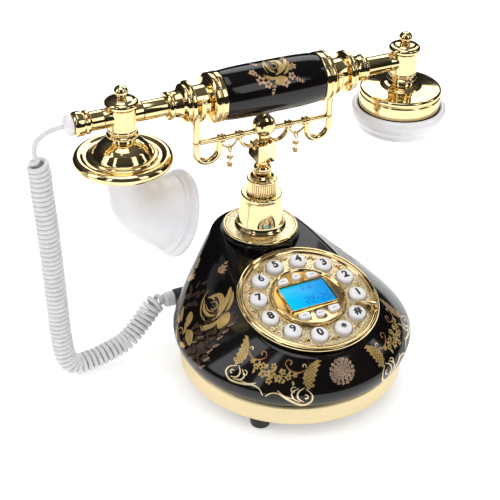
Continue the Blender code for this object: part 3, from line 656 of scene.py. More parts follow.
def star_sign(reach, half_width):
    """Three crossed bars."""
    bar = [(-reach, -half_width), (reach, -half_width), (reach, half_width), (-reach, half_width)]
    return joined([(prism(bar, -0.03, 0.03), turned(90 + 60 * k, "Z")) for k in range(3)])


def printed(name, sign, mat, body, place, height_of):
    """Lays a flat sign on a domed key: height_of gives the key's height at a distance from its middle."""
    bmesh.ops.triangulate(sign, faces=sign.faces)
    for _pass in range(2):
        long_edges = [edge for edge in sign.edges if edge.calc_length() > 1.1]
        bmesh.ops.subdivide_edges(sign, edges=long_edges, cuts=1)
        bmesh.ops.triangulate(sign, faces=sign.faces)
    for vert in sign.verts:
        vert.co.z += 0.05 + height_of(math.hypot(vert.co.x, vert.co.y))
    finish(name, sign, mat, body, place=place)


def key_top(distance):
    return 2.0 - 0.6 * (distance / 4.6) ** 2


def build_keys(mats):
    key = [(0, -5.4), (7.2, -5.4), (7.2, -3.7), (5.95, -3.7), (5.95, -0.1), (5.6, 0.7), (4.6, 1.4)]
    key += [(r, key_top(r)) for r in (3.6, 2.4, 1.2)] + [(0, key_top(0))]
    for index, name in enumerate(KEYS):
        place = dial_frame() @ key_place(index)
        body = "digit_" + name
        finish("cap_" + name, lathe(key, SMALL, 0.5), mats["key"], body, "key_" + name, place=place)
        if name == "star":
            sign = star_sign(2.3, 0.5)
        else:
            # The strokes of a 6 or a 9 curl in on themselves, so they can't be as bold as the others.
            bold = SIGN_BOLD * (0.6 if name in ("6", "9") else 1.0)
            sign = text_mesh("#" if name == "hash" else name, SIGN_SIZE, bold)
        printed("digit_" + name + "_print", sign, mats["ink"], body, place, lambda r: key_top(r) - 0.02)


def function_outline(index, grow=0.0):
    """The outline of a small button about its own middle: the outer ones follow the round frame."""
    x, v = FUNCTION_SLOTS[index]
    half = (4.0, 2.6) if x else (3.1, 2.6)
    outline = []
    for px, py in rounded_rectangle(half[0], half[1], 1.2 if x else 2.4):
        spot = Vector((x + px, v + py))
        spot *= min(FUNCTION_REACH / spot.length, 1.0)
        away = Vector((px, py)).normalized() * grow
        outline.append((spot.x - x + away.x, spot.y - v + away.y))
    return outline


def build_function_buttons(mats):
    """The small buttons, each with a row of strokes that stands for its word."""
    for index, (name, (x, v)) in enumerate(zip(FUNCTIONS, FUNCTION_SLOTS)):
        place = dial_frame() @ at(x, v, 0)
        body = "function_" + name
        finish("small_button_" + name, prism(function_outline(index), -4.8, 1.5, 0.6), mats["key"], body,
               "button_" + name, place=place)
        strokes = []
        for k in range(4):
            stroke_outline = rounded_rectangle(0.2, 0.62 - 0.1 * (k % 2), 0.12, 2)
            strokes.append((prism(stroke_outline, 1.46, 1.54), at(-1.2 + 0.8 * k, 0.0, 0)))
        finish("button_mark_" + name, joined(strokes), mats["grey_ink"], body, place=place)


def key_holes(radius):
    """The cutter for the round holes that the keys stand in."""
    hole = [(0, -6), (radius, -6), (radius, 3), (0, 3)]
    return joined([(lathe(hole, 48, 0), dial_frame() @ key_place(index)) for index in range(len(KEYS))])


def build_dial(mats):
    plate = [(BEZEL_INNER - 0.3, -3.4), (44.6, -3.4), (44.6, -8.4), (46.2, -8.4), (46.2, -2.6),
             (DIAL_RADIUS, -2.6), (DIAL_RADIUS, -1.2), (47.9, -0.1), (46.9, 0.1), (45.7, -0.7),
             (45.0, -0.8), (44.4, -0.5), (43.5, -1.2), (43.1, -1.8), (BEZEL_INNER - 0.3, -1.8)]
    dial = finish("dial_face", lathe(plate, 192, 0.3), mats["gold"], "base", "dial_plate", place=dial_frame())
    cut_holes(dial, key_holes(6.35))
    stop = [(0.0, 1.5), (0.0, -1.5), (5.0, -2.0), (8.4, -1.5), (12.0, -0.35), (14.2, 0.0), (12.0, 0.35),
            (8.4, 1.5), (5.0, 2.0)]
    place = dial_frame() @ turned(-30, "Z") @ at(46.4, 0, 0) @ turned(180, "Z")
    finish("pointed_finger_stop", prism(stop, -1.7, 1.9, 0.9), mats["gold"], "base", place=place)
    pip = [(0, -2.0), (0.75, -2.0), (0.75, -1.2), (0.5, -0.95), (0, -0.9)]
    pips = [(lathe(pip, 16, 0.1), turned(30 * k, "Z") @ at(29.0, 0, 0)) for k in range(12)]
    finish("dial_pips", joined(pips), mats["gold"], "base", place=dial_frame())


def flourish(bm_list, place, size):
    """A small relief spray: a rosette with leaves and curls, for the field between two keys."""
    bm_list.append((lathe([(0, 0), (0.9, 0), (0.75, 0.5), (0.3, 0.75), (0, 0.8)], 12, 0.1), place))
    for k in range(5):
        turn = Matrix.Rotation(2 * math.pi * k / 5 + 0.3, 4, "Z")
        petal_rod = sweep([(0.6, 0, 0.15), (1.2, 0, 0.38), (1.9, 0, 0.12)], [0.3, 0.46, 0.16], 8, 0.6)
        bm_list.append((petal_rod, place @ turn))
    for side in (-1, 1):
        for reach, lift in ((1.0, 0.0), (0.72, 1.3)):
            route = [(side * 1.2, lift, 0.1), (side * 2.6 * reach, 0.9 + lift, 0.32),
                     (side * 4.4 * reach, 0.7 + lift, 0.26), (side * 5.0 * reach, -0.5 + lift, 0.1)]
            widths = [0.34, 0.42, 0.44, 0.44, 0.42, 0.4, 0.36, 0.3, 0.24, 0.12]
            curl_rod = sweep(smooth_path([Vector(p) * size for p in route], 3), widths, 8, 0.7)
            bm_list.append((curl_rod, place))


def build_dial_relief(mats):
    """A stippled field with a spray between each two keys, apart from where the finger stop is."""
    field = [(BEZEL_OUTER + 0.3, -1.9), (43.0, -1.9), (43.0, -1.72), (BEZEL_OUTER + 0.3, -1.72)]
    ground = finish("stippled_field", lathe(field, 192, 0), mats["stipple"], "base", place=dial_frame())
    cut_holes(ground, key_holes(6.6))
    sprays = []
    for index in range(len(KEYS) - 1):
        angle = math.radians(30 * index)
        middle = at(SPRAY_CIRCLE * math.cos(angle), SPRAY_CIRCLE * math.sin(angle), -1.75)
        flourish(sprays, middle @ Matrix.Rotation(angle + math.pi / 2, 4, "Z"), 0.78)
    finish("dial_sprays", joined(sprays), mats["gold"], "base", place=dial_frame())


def window_frame():
    """The raised frame round the display: one rounded section carried round the window."""
    rim = bmesh.new()
    section = ((1.9, -0.5), (1.75, 0.7), (1.3, 1.25), (0.6, 1.2), (0.15, 0.7), (0.0, -0.6), (0.0, -2.4),
               (1.9, -2.4))
    rows = []
    for grow, height in section:
        outline = rounded_rectangle(LCD_HALF[0] + grow, LCD_HALF[1] + grow, 0.6 + grow * 0.8)
        rows.append([rim.verts.new((x, y, height)) for x, y in outline])
    bridge(rim, rows + rows[:1])
    return rim


def build_bezel(mats):
    profile = [(0, -3.0), (22.3, -3.0), (22.3, -1.5), (BEZEL_OUTER, -1.5), (BEZEL_OUTER, 0.5), (25.7, 1.1),
               (24.9, 1.1), (24.2, 0.5), (23.7, -0.4), (0, -0.4)]
    bezel = finish("window_bezel", lathe(profile, 160, 0.3), mats["gold"], "base", "inner_bezel",
                   place=dial_frame())
    cuts = [(prism(rounded_rectangle(LCD_HALF[0], LCD_HALF[1], 1.0), -6, 4), at(0, LCD_CENTRE_V, 0))]
    for index, (x, v) in enumerate(FUNCTION_SLOTS):
        cuts.append((prism(function_outline(index, 0.3), -6, 4), at(x, v, 0)))
    cut_holes(bezel, joined([(piece, dial_frame() @ place) for piece, place in cuts]))
    finish("window_frame", window_frame(), mats["gold"], "base",
           place=dial_frame() @ at(0, LCD_CENTRE_V, 0))


SEGMENTS_OF = {"0": "abcdef", "1": "bc", "2": "abdeg", "3": "abcdg", "5": "acdfg", "7": "abc", "-": "g"}


def segment_digit(digit, size):
    """The lit bars of one seven-bar figure, standing on its lower left corner."""
    wide = size * 0.5
    bars = {"a": (wide / 2, size, 1), "g": (wide / 2, size / 2, 1), "d": (wide / 2, 0, 1),
            "f": (0, size * 0.75, 0), "b": (wide, size * 0.75, 0), "e": (0, size * 0.25, 0),
            "c": (wide, size * 0.25, 0)}
    out = []
    for name in SEGMENTS_OF[digit]:
        x, y, level = bars[name]
        half = (wide * 0.42, size * 0.055) if level else (size * 0.055, size * 0.2)
        out.append((prism(rounded_rectangle(*half, size * 0.045, 2), 0, 0.06), at(x, y, 0)))
    return out


def build_display(mats):
    window = rounded_rectangle(LCD_HALF[0] - 0.15, LCD_HALF[1] - 0.15, 0.9)
    place = dial_frame() @ at(0, LCD_CENTRE_V, 0)
    finish("lit_display", prism(window, -8.4, 0.2, 0.15), mats["lcd"], "base", "lcd_window", place=place)
    bars = []
    rows = (("12-30", 2.6, -3.2, 5.2), ("22-25", 5.2, -3.8, -7.4))
    for text, size, left, low in rows:
        for k, digit in enumerate(text):
            for bar, spot in segment_digit(digit, size):
                lean = Matrix(((1, 0.12, 0, 0), (0, 1, 0, 0), (0, 0, 1, 0), (0, 0, 0, 1)))
                bars.append((bar, at(left + k * size * 0.74, low, 0.2) @ lean @ spot))
    finish("display_figures", joined(bars), mats["segment"], "base", place=place)


# ---------------------------------------------------------------- neck and cradle

BAR_Z = 165.0
DRUM_Z = 168.5
FORK_X = 50.3
INNER_ARM_X = 33.2
SWAG_X = 18.6
FORK_BOTTOM = 149.6
YOKE_RADIUS = 12.4
PENDANT_X = 25.2
PENDANT_Z = 155.0


def build_neck(mats):
    flange = [(6.0, 87.6), (25.6, 87.6), (26.6, 88.2), (26.6, 89.2), (26.1, 89.9), (25.2, 90.0), (24.6, 89.5),
              (6.0, 89.5)]
    finish("neck_plate", lathe(flange, FINE, 0.3), mats["gold"], "base", "neck_flange", place=NECK)
    field = [(17.0, 89.2), (24.7, 89.2), (24.7, 89.75), (17.0, 90.1)]
    finish("neck_plate_field", lathe(field, FINE, 0.1), mats["stipple"], "base", place=NECK)
    bell = [(4.0, 90.3), (18.3, 90.3), (18.1, 91.0), (16.8, 92.2), (16.2, 94.2), (15.8, 98.0),
            (15.1, 104.5), (14.3, 111.8), (14.1, 112.6), (14.5, 113.2), (14.5, 115.2), (14.1, 115.9),
            (13.4, 116.2), (4.0, 116.2)]
    finish("bell_column", lathe(bell, FINE, 0.7), mats["gold"], "base", "pedestal_bell", place=NECK)

    def flutes(radius, height, angle):
        if 117.6 < height < 126.4 and radius > 10.0:
            return radius - 0.42 * abs(math.sin(angle * 22)) ** 0.7
        return radius

    collar = [(4.0, 116.5), (10.6, 116.5), (10.7, 117.2), (10.5, 117.7), (10.5, 119.0), (10.5, 122.0),
              (10.5, 126.2), (10.7, 126.6), (10.7, 127.6), (10.0, 128.3), (9.0, 128.3), (8.7, 128.0),
              (8.4, 128.4), (8.2, 129.4), (7.0, 130.2), (6.2, 130.8), (4.0, 130.8)]
    finish("fluted_drum", lathe(collar, 264, 0.25, flutes), mats["gold"], "base", "fluted_collar", place=NECK)


def faceted_cube(half, low, high, reach):
    """A cube with a pyramid that stands out by reach on each of its four sides, and softened edges."""
    bm = bmesh.new()
    corners = [(-half, -half), (half, -half), (half, half), (-half, half)]
    bottom = [bm.verts.new((x, y, low)) for x, y in corners]
    top = [bm.verts.new((x, y, high)) for x, y in corners]
    for k, (dx, dy) in enumerate(((0, -1), (1, 0), (0, 1), (-1, 0))):
        after = (k + 1) % 4
        tip = bm.verts.new((dx * (half + reach), dy * (half + reach), (low + high) / 2))
        loop = [bottom[k], bottom[after], top[after], top[k]]
        for a, b in zip(loop, loop[1:] + loop[:1]):
            bm.faces.new((a, b, tip))
    bm.faces.new(bottom)
    bm.faces.new(top)
    bmesh.ops.recalc_face_normals(bm, faces=bm.faces)
    bmesh.ops.bevel(bm, geom=list(bm.edges), offset=0.22, segments=2, affect="EDGES")
    return bm


def build_plunger(mats):
    rod = [(0, 64.6), (3.4, 64.6), (3.4, 131.4), (4.6, 131.5), (5.8, 132.4), (6.3, 133.6), (6.2, 134.3),
           (5.7, 134.6), (6.3, 135.1), (6.2, 136.4), (5.4, 137.7), (4.4, 138.3), (3.3, 138.8), (3.2, 140.4),
           (0, 140.4)]
    finish("plunger_and_barrel", lathe(rod, MEDIUM, 0.3), mats["gold"], "cradle", "plunger_rod", place=NECK)
    faceted = faceted_cube(6.6, 142.2, 155.6, 4.6)
    stem = [(0, 140.7), (4.4, 140.7), (4.7, 141.3), (4.4, 142.0), (4.4, 143.0), (0, 143.0)]
    cap = [(0, 155.0), (4.4, 155.0), (3.6, 155.5), (0, 155.6)]
    solids = [(faceted, None), (lathe(stem, SMALL, 0.15), None), (lathe(cap, SMALL, 0.1), None)]
    finish("pyramid_knob", joined(solids), mats["gold"], "cradle", "star_knob", place=NECK, sharp=20)


def arc(centre, radius, start, end, steps, plane):
    points = []
    for k in range(steps + 1):
        angle = math.radians(start + (end - start) * k / steps)
        offset = (radius * math.cos(angle), radius * math.sin(angle))
        if plane == "XZ":
            points.append((centre[0] + offset[0], centre[1], centre[2] + offset[1]))
        else:
            points.append((centre[0], centre[1] + offset[0], centre[2] + offset[1]))
    return points


def banded_bead(x):
    """A turned bead on the bar: two bands with a groove between them."""
    radius = 3.1
    profile = [(0, -2.9), (2.3, -2.9), (2.6, -2.4), (radius, -1.8), (radius, -0.7), (2.4, -0.2), (2.4, 0.2),
               (radius, 0.7), (radius, 1.8), (2.6, 2.4), (2.3, 2.9), (0, 2.9)]
    return lathe(profile, 32, 0.3), along_x(x, NECK_Y, BAR_Z)


def fork(side):
    """One fork: its loop below the bar, the upright, the yoke that holds the handset, and their beads."""
    x = side * FORK_X
    radius = (FORK_X - INNER_ARM_X) / 2
    bend = arc(((FORK_X + INNER_ARM_X) / 2, NECK_Y, FORK_BOTTOM + radius), radius, 180, 360, 28, "XZ")
    loop = [(side * INNER_ARM_X, NECK_Y, BAR_Z)] + [(side * px, py, pz) for px, py, pz in bend]
    loop += [(x, NECK_Y, z) for z in (164.0, 172.0, 180.0, AXIS_Z - YOKE_RADIUS)]
    yoke = arc((x, NECK_Y, AXIS_Z), YOKE_RADIUS, 180, 360, 28, "YZ")
    tips = [(x, NECK_Y + end * (YOKE_RADIUS + 0.5), AXIS_Z + 3.6) for end in (-1, 1)]
    solids = [(sweep(loop, 2.3, 20, across=(0, 1, 0)), None),
              (sweep([tips[0]] + yoke + [tips[1]], 2.05, 20, across=(1, 0, 0)), None)]
    tip_bead = [(0, -2.2), (1.7, -1.5), (2.5, 0), (1.7, 1.6), (0, 2.3)]
    for end in (-1, 1):
        solids.append((lathe(tip_bead, 20, 0.8), at(x, NECK_Y + end * (YOKE_RADIUS + 0.6), AXIS_Z + 4.6)))
    bar_bead = [(0, -2.4), (2.0, -1.8), (2.7, 0), (2.0, 1.8), (0, 2.4)]
    solids.append((lathe(bar_bead, 24, 0.9), at(x, NECK_Y, BAR_Z)))
    return solids


def swag(side):
    """Between the finial and the fork: a double scroll, the wire that a pendant hangs on, and two beads."""
    arm = smooth_path([(side * SWAG_X, NECK_Y, BAR_Z - 0.4), (side * 17.4, NECK_Y, 159.6),
                       (side * 13.6, NECK_Y, 155.6), (side * 8.6, NECK_Y, 154.6),
                       (side * 4.4, NECK_Y, 157.4)], 8)
    solids = [(sweep([(x, y + shift, z) for x, y, z in arm], 1.15, 14, across=(0, 1, 0)), None)
              for shift in (-0.95, 0.95)]
    wire = smooth_path([(side * (SWAG_X + 0.4), NECK_Y, BAR_Z - 2), (side * 21.8, NECK_Y, 158.6),
                        (side * PENDANT_X, NECK_Y, PENDANT_Z + 1.6), (side * 28.6, NECK_Y, 158.0),
                        (side * (INNER_ARM_X - 0.6), NECK_Y, 161.0)], 6)
    solids.append((sweep(wire, 0.75, 12, across=(0, 1, 0)), None))
    return solids + [banded_bead(side * x) for x in (INNER_ARM_X - 1.4, SWAG_X)]


def build_cradle(mats):
    """The casting: a bar with two forks, scrolls, and a drum-shaped finial that faces the front."""
    solids = [(sweep([(x, NECK_Y, BAR_Z) for x in range(-51, 52, 6)], 1.9, 20), None)]
    for side in (-1, 1):
        solids += fork(side) + swag(side)
    stem = [(0, 155.7), (3.2, 155.7), (3.6, 156.6), (3.0, 157.4), (3.4, 158.6), (4.4, 160.0), (4.4, 168.0),
            (0, 168.0)]
    solids.append((lathe(stem, 56, 0.5), NECK))
    facing = at(0, NECK_Y, DRUM_Z) @ turned(90, "X")
    drum = [(0, -5.0), (3.6, -4.8), (6.4, -4.0), (7.7, -2.6), (7.8, -1.6), (7.4, -0.9), (7.4, 1.3),
            (7.8, 2.0), (7.8, 2.8), (7.0, 4.2), (5.0, 5.6), (2.5, 6.4), (0, 6.6)]
    solids.append((lathe(drum, 64, 0.6), facing))
    finish("cradle_casting", joined(solids), mats["gold"], "cradle", "cradle_frame")
    eyes = []
    for degrees in (42, 165, 270):
        angle = math.radians(degrees)
        spot = at(4.1 * math.cos(angle), 4.1 * math.sin(angle), 0)
        eyes.append((lathe([(0, 3.6), (1.1, 3.6), (1.1, 6.05), (0, 6.2)], 24, 0.1), facing @ spot))
    finish("finial_eyes", joined(eyes), mats["ink"], "cradle")


def build_pendants(mats):
    """The two hanging charms: a ring, a pin with two crossed bars, and a flower of beads."""
    pin = [(0, -12.2), (0.75, -12.0), (0.6, -9.0), (0.9, -6.2), (0.55, -3.4), (0, -3.2)]
    bar = [(0, -2.7), (0.95, -2.4), (1.05, -1.7), (0.6, -1.2), (0.6, 1.2), (1.05, 1.7), (0.95, 2.4), (0, 2.7)]
    petal_bead = [(0, -0.9), (0.8, -0.6), (1.05, 0), (0.8, 0.6), (0, 0.9)]
    middle_bead = [(0, -1.0), (0.9, -0.7), (1.2, 0), (0.9, 0.7), (0, 1.0)]
    flower_z = -12.9
    for name, side in (("left", -1), ("right", 1)):
        pivot = at(side * PENDANT_X, NECK_Y, PENDANT_Z + 1.6)
        ring = arc((0, 0, -0.9), 2.4, 110, 430, 28, "YZ")
        solids = [(sweep(ring, 0.6, 12, across=(1, 0, 0)), None), (lathe(pin, 16, 0.2), None)]
        for turn in (0, 90):
            solids.append((lathe(bar, 16, 0.2), at(0, 0, -7.6) @ turned(turn, "Z") @ turned(90, "Y")))
        for k in range(5):
            across = 1.45 * math.cos(2 * math.pi * k / 5)
            lift = math.sin(2 * math.pi * k / 5)
            solids.append((lathe(petal_bead, 12, 0.3), at(across, lift, flower_z + 1.2 * lift)))
        solids.append((lathe(middle_bead, 14, 0.3), at(0, 0, flower_z)))
        finish("charm_" + name, joined(solids), mats["gold"], name + "_pendant", "pendant_" + name,
               place=pivot)


# ---------------------------------------------------------------- handset

GRIP_HALF = 35.8
GRIP_RADIUS = 17.6
GRIP_TAPER = 1.15


def grip_radius(h):
    return GRIP_RADIUS - GRIP_TAPER * (abs(h) / GRIP_HALF) ** 4


def build_grip(mats):
    heights = [GRIP_HALF * k / 9 for k in range(-9, 10)]
    profile = [(12.4, -GRIP_HALF)] + [(grip_radius(h), h) for h in heights] + [(12.4, GRIP_HALF)]
    finish("lacquered_grip", lathe(profile, FINE, 0.5), mats["lacquer"], "handset", "handset_grip",
           place=handset_x(0))
    ferrule = [(6.6, 33.0), (12.1, 33.0), (12.1, 36.2), (16.3, 36.2), (16.9, 36.6), (16.9, 39.6),
               (16.2, 40.2), (16.2, 40.9), (16.9, 41.5), (16.9, 43.4), (15.9, 44.4), (14.4, 45.2),
               (10.6, 46.2), (10.0, 47.0), (10.0, 55.4), (10.6, 56.0), (13.4, 56.6), (14.3, 57.4),
               (14.3, 59.2), (13.6, 60.0), (12.5, 60.4), (12.8, 61.2), (12.8, 62.4), (11.6, 63.4),
               (9.6, 64.6), (8.9, 67.0), (8.6, 70.2), (9.1, 70.9), (9.4, 71.6), (9.3, 73.0), (8.4, 74.0),
               (6.6, 74.0)]
    for name, side, reach in (("left", -1, 90.3), ("right", 1, 92.5)):
        tube = [(4.4, 47.0), (6.3, 47.0), (6.3, reach), (4.4, reach)]
        finish("turned_ferrule_" + name, lathe([(r, side * h) for r, h in ferrule], FINE, 0.35), mats["gold"],
               "handset", "ferrule_" + name, place=handset_x(0))
        finish("handset_tube_" + name, lathe([(r, side * h) for r, h in tube], MEDIUM, 0.2), mats["gold"],
               "handset", "tube_" + name, place=handset_x(0))


def build_tees(mats):
    post = [(0, 182.4), (9.6, 182.4), (10.4, 183.0), (10.4, 184.0), (9.4, 184.8), (8.8, 185.4),
            (9.2, 186.0), (9.8, 186.6), (9.8, 187.6), (9.4, 188.2), (9.4, 202.6), (9.8, 203.4),
            (10.9, 204.2), (11.0, 205.6), (10.7, 206.6), (9.6, 207.6), (8.2, 207.9), (6.8, 208.8),
            (5.0, 209.2), (3.2, 209.6), (3.0, 210.2), (4.1, 211.2), (4.7, 212.9), (4.5, 214.6),
            (3.4, 216.3), (1.8, 217.1), (0, 217.3)]
    stub = [(0, -13.1), (6.3, -13.1), (6.3, 0), (0, 0)]
    for name, x, sides in (("mouth_tee", MOUTH_X, (-1, 1)), ("ear_tee", EAR_X, (-1,))):
        solids = [(lathe(post, MEDIUM, 0.35), at(x, NECK_Y, 0))]
        solids += [(lathe([(r, -side * h) for r, h in stub], SMALL, 0.3), along_x(x, NECK_Y, AXIS_Z))
                   for side in sides]
        finish(name + "_post", joined(solids), mats["gold"], "handset", name)
    end = [(0, 117.2), (6.3, 117.2), (6.3, 125.4), (6.9, 126.0), (7.6, 126.8), (7.7, 128.4), (7.0, 129.3),
           (7.2, 129.9), (8.0, 130.8), (8.1, 134.6), (7.6, 135.8), (6.9, 136.7), (0, 136.8)]
    finish("handset_end", lathe([(r, -h) for r, h in end], MEDIUM, 0.3), mats["gold"], "handset",
           "end_ferrule", place=handset_x(0))
    relief = [(0, 137.0), (6.5, 137.1), (7.0, 137.9), (7.0, 139.4), (6.4, 140.6), (4.9, 141.6), (2.7, 142.7),
              (1.5, 142.8), (0, 142.8)]
    finish("cord_socket", lathe([(r, -h) for r, h in relief], MEDIUM, 0.4), mats["cap"], "handset",
           "strain_relief", place=handset_x(0))


HORN_ROUTE = ((0.0, 0.0, 161.3), (0.1, 0.0, 155.5), (0.4, 0.0, 149.0), (1.8, 0.0, 141.0), (6.0, 0.0, 131.4),
              (14.0, 0.0, 124.4), (24.0, 0.0, 119.8), (31.0, 0.0, 117.2))
HORN_RADII = (12.2, 10.8, 10.6, 11.4, 14.8, 19.4, 23.4, 25.4)
HORN_END = 31.0
HORN_WALL = 2.2
HORN_THROAT = 15.5
SOUND_HOLE_CIRCLE = 6.0
HORN_LIP = ((31.3, 26.6), (32.0, 27.3), (32.7, 27.0), (33.0, 26.4), (34.2, 26.6), (35.2, 28.4), (36.2, 29.6),
            (37.7, 30.0), (39.1, 29.7), (39.6, 28.8), (39.6, 27.8))


def horn_mesh(sides):
    """The bent horn: rings along its smooth middle line, a stepped lip, and an inner skin."""
    steps = 6
    middle = smooth_path(HORN_ROUTE, steps)
    widths = [p.x for p in smooth_path([(r, 0, 0) for r in HORN_RADII], steps)]
    tangents = tangents_of(middle)
    direction = tangents[-1]
    start = middle[-1]
    rings = list(zip(middle, tangents, widths))
    rings += [(start + direction * (s - HORN_END), direction, r) for s, r in HORN_LIP]
    rings += [(p, t, w - HORN_WALL) for p, t, w in reversed(rings[:-2]) if w > HORN_THROAT]
    bm = bmesh.new()
    rows = []
    for centre, tangent, radius in rings:
        across = Vector((0, 1, 0)) * radius
        rows.append(ring_of(bm, centre, across, tangent.cross(across), sides))
    bridge(bm, rows)
    bm.faces.new(rows[0])
    bm.faces.new(rows[-1])
    return bm


def build_mouthpiece(mats):
    saucer = [(0, 182.1), (7.6, 182.1), (8.2, 181.2), (8.8, 180.0), (11.0, 179.0), (14.2, 177.2),
              (16.8, 174.8), (18.8, 171.8), (19.8, 170.0), (20.6, 169.4), (22.0, 169.3), (22.4, 168.4),
              (23.6, 167.9), (25.6, 168.0), (27.6, 169.1), (29.6, 169.3), (31.4, 168.5), (32.6, 166.8),
              (32.6, 164.8), (31.6, 163.2), (29.6, 162.1), (25.0, 161.7), (0, 161.6)]
    finish("rolled_saucer", lathe(saucer, FINE, 0.5), mats["gold"], "handset", "mouth_saucer", place=MOUTH)
    finish("speaking_horn", horn_mesh(96), mats["horn"], "handset", "mouth_horn", place=HORN, sharp=24)


def build_earpiece(mats):
    housing = [(0, 182.1), (8.6, 182.1), (9.0, 181.2), (9.6, 180.2), (11.8, 179.4), (13.8, 178.4),
               (14.6, 177.5), (27.0, 176.6), (28.2, 176.2), (28.7, 175.2), (28.7, 173.4), (28.1, 172.8),
               (28.1, 172.2), (28.7, 171.6), (28.7, 163.0), (25.4, 163.0), (25.4, 173.4), (0, 173.4)]
    finish("earpiece_cup", lathe(housing, FINE, 0.4), mats["gold"], "handset", "ear_housing", place=EAR)
    cap = [(29.0, 162.4), (30.4, 163.3), (31.8, 163.2), (33.2, 161.9), (33.8, 159.4), (33.5, 156.4),
           (32.6, 153.8), (31.2, 151.6), (30.0, 150.6), (29.6, 150.0), (29.5, 148.6), (28.9, 147.0),
           (27.6, 145.8), (26.0, 145.4), (23.6, 145.7), (10.0, 147.6), (0, 148.1), (0, 150.4),
           (10.0, 149.8), (24.6, 148.6), (26.4, 151.4), (29.0, 157.4)]
    piece = finish("white_ear_cap", lathe(cap, FINE, 0.5), mats["cap"], "handset", "ear_cap", place=EAR)
    hole = [(0, 140), (1.3, 140), (1.3, 155), (0, 155)]
    holes = [(lathe(hole, 24, 0), EAR)]
    for k in range(6):
        angle = math.radians(60 * (k + 1))
        spot = at(SOUND_HOLE_CIRCLE * math.cos(angle), SOUND_HOLE_CIRCLE * math.sin(angle), 0)
        holes.append((lathe(hole, 24, 0), EAR @ spot))
    cut_holes(piece, joined(holes))
    gasket = [(27.0, 161.4), (28.4, 161.4), (28.4, 163.4), (27.0, 163.4)]
    finish("cap_gasket", lathe(gasket, FINE, 0.1), mats["ink"], "handset", place=EAR)


# ---------------------------------------------------------------- transfers

# A transfer is drawn flat, in millimetres, as ribbons: each is a list of rows of points across its width. A
# sheet carries a flat point to the piece's surface and gives the way out of it there.

TRANSFER_THICKNESS = 0.09
UMBER_LIFT = 0.03
COPPER_LIFT = 0.06
LEAF_LIFT = 0.09
PALE_LIFT = 0.13


def body_sheet(surface, azimuth, height):
    """The sheet about a point of the body: u runs round the base, and v up the shoulder."""
    turn = Matrix.Rotation(math.radians(azimuth), 3, "Z")
    hit, out, _face, _distance = surface.ray_cast(turn @ Vector((0, -200, height)), turn @ Vector((0, 1, 0)))
    anchor = turn.inverted() @ hit
    out = turn.inverted() @ out
    up = Vector((1, 0, 0)).cross(out) * -1
    reach = math.hypot(anchor.x, anchor.y)

    def spot(u, v):
        here = turn @ Matrix.Rotation(u / reach, 3, "Z")
        start = here @ (anchor + up * v + out * 20.0)
        found, normal, _face, _distance = surface.ray_cast(start, here @ -out)
        if found is None:
            found, normal, _face, _distance = surface.find_nearest(start)
        return found, normal

    return spot


def grip_sheet(degrees):
    """The sheet on the handset's grip: u runs along it and v round it, up from the front."""

    def spot(u, v):
        angle = math.radians(degrees) + v / 17.0
        out = Vector((0, -math.cos(angle), math.sin(angle)))
        return Vector((HANDSET_X + u, NECK_Y, AXIS_Z)) + out * grip_radius(u), out

    return spot


def lay(name, strips, sheet, lift, mat, body):
    """Lays the ribbons on the sheet as one thin piece."""
    bm = bmesh.new()
    for rows in strips:
        grids = []
        for level in (lift, lift - TRANSFER_THICKNESS):
            grid = []
            for row in rows:
                placed = [sheet(u, v) for u, v in row]
                grid.append([bm.verts.new(point + out * level) for point, out in placed])
            grids.append(grid)
        top, under = grids
        high = len(top) - 1
        wide = len(top[0]) - 1
        for i in range(high):
            for j in range(wide):
                bm.faces.new((top[i][j], top[i][j + 1], top[i + 1][j + 1], top[i + 1][j]))
                bm.faces.new((under[i][j], under[i + 1][j], under[i + 1][j + 1], under[i][j + 1]))
            for j, flip in ((0, 1), (wide, -1)):
                side = (top[i][j], top[i + 1][j], under[i + 1][j], under[i][j])
                bm.faces.new(side[::flip])
        for i in (0, high):
            for j in range(wide):
                bm.faces.new((top[i][j], top[i][j + 1], under[i][j + 1], under[i][j]))
    return finish(name, bm, mat, body, sharp=60)


def ribbon(points, width_of, columns=2):
    """A ribbon along flat points; width_of gives its half width at a share of its length."""
    path = [Vector(p) for p in points]
    rows = []
    for k, point in enumerate(path):
        along = (path[min(k + 1, len(path) - 1)] - path[max(k - 1, 0)]).normalized()
        across = Vector((-along.y, along.x))
        half = max(width_of(k / (len(path) - 1)), 0.02)
        rows.append([tuple(point + across * half * (2 * j / columns - 1)) for j in range(columns + 1)])
    return rows


def stroke(points, half_width, steps=5, blunt=0.35):
    """A drawn line through the points that thins towards both ends."""
    path = [(p.x, p.y) for p in smooth_path([(x, y, 0) for x, y in points], steps)]
    return ribbon(path, lambda t: half_width * (blunt + (1 - blunt) * math.sin(math.pi * t)))


def petal(points, half_width, shoulder=0.6):
    """A broad stroke that is widest at the shoulder, a share of its length."""
    path = [(p.x, p.y) for p in smooth_path([(x, y, 0) for x, y in points], 5)]
    power = math.log(0.5) / math.log(shoulder)
    return ribbon(path, lambda t: half_width * math.sin(math.pi * t ** power) ** 0.7, 4)


def leaf(x, y, degrees, length, half_width):
    """A pointed leaf from its foot at (x, y), a little bowed."""
    angle = math.radians(degrees)
    ahead = Vector((math.cos(angle), math.sin(angle)))
    aside = Vector((-ahead.y, ahead.x))
    start = Vector((x, y))
    points = [start + ahead * length * t + aside * length * 0.12 * math.sin(math.pi * t)
              for t in (0, 0.2, 0.4, 0.6, 0.8, 1)]
    return ribbon(points, lambda t: half_width * math.sin(math.pi * t ** 0.8))


def blossom(x, y, size, petals=5, turn=0.0):
    """Petals about a middle that stays open."""
    out = []
    for k in range(petals):
        angle = turn + 360 * k / petals
        cx = x + size * 0.22 * math.cos(math.radians(angle))
        cy = y + size * 0.22 * math.sin(math.radians(angle))
        out.append(leaf(cx, cy, angle, size * 0.8, size * 0.33))
    return out


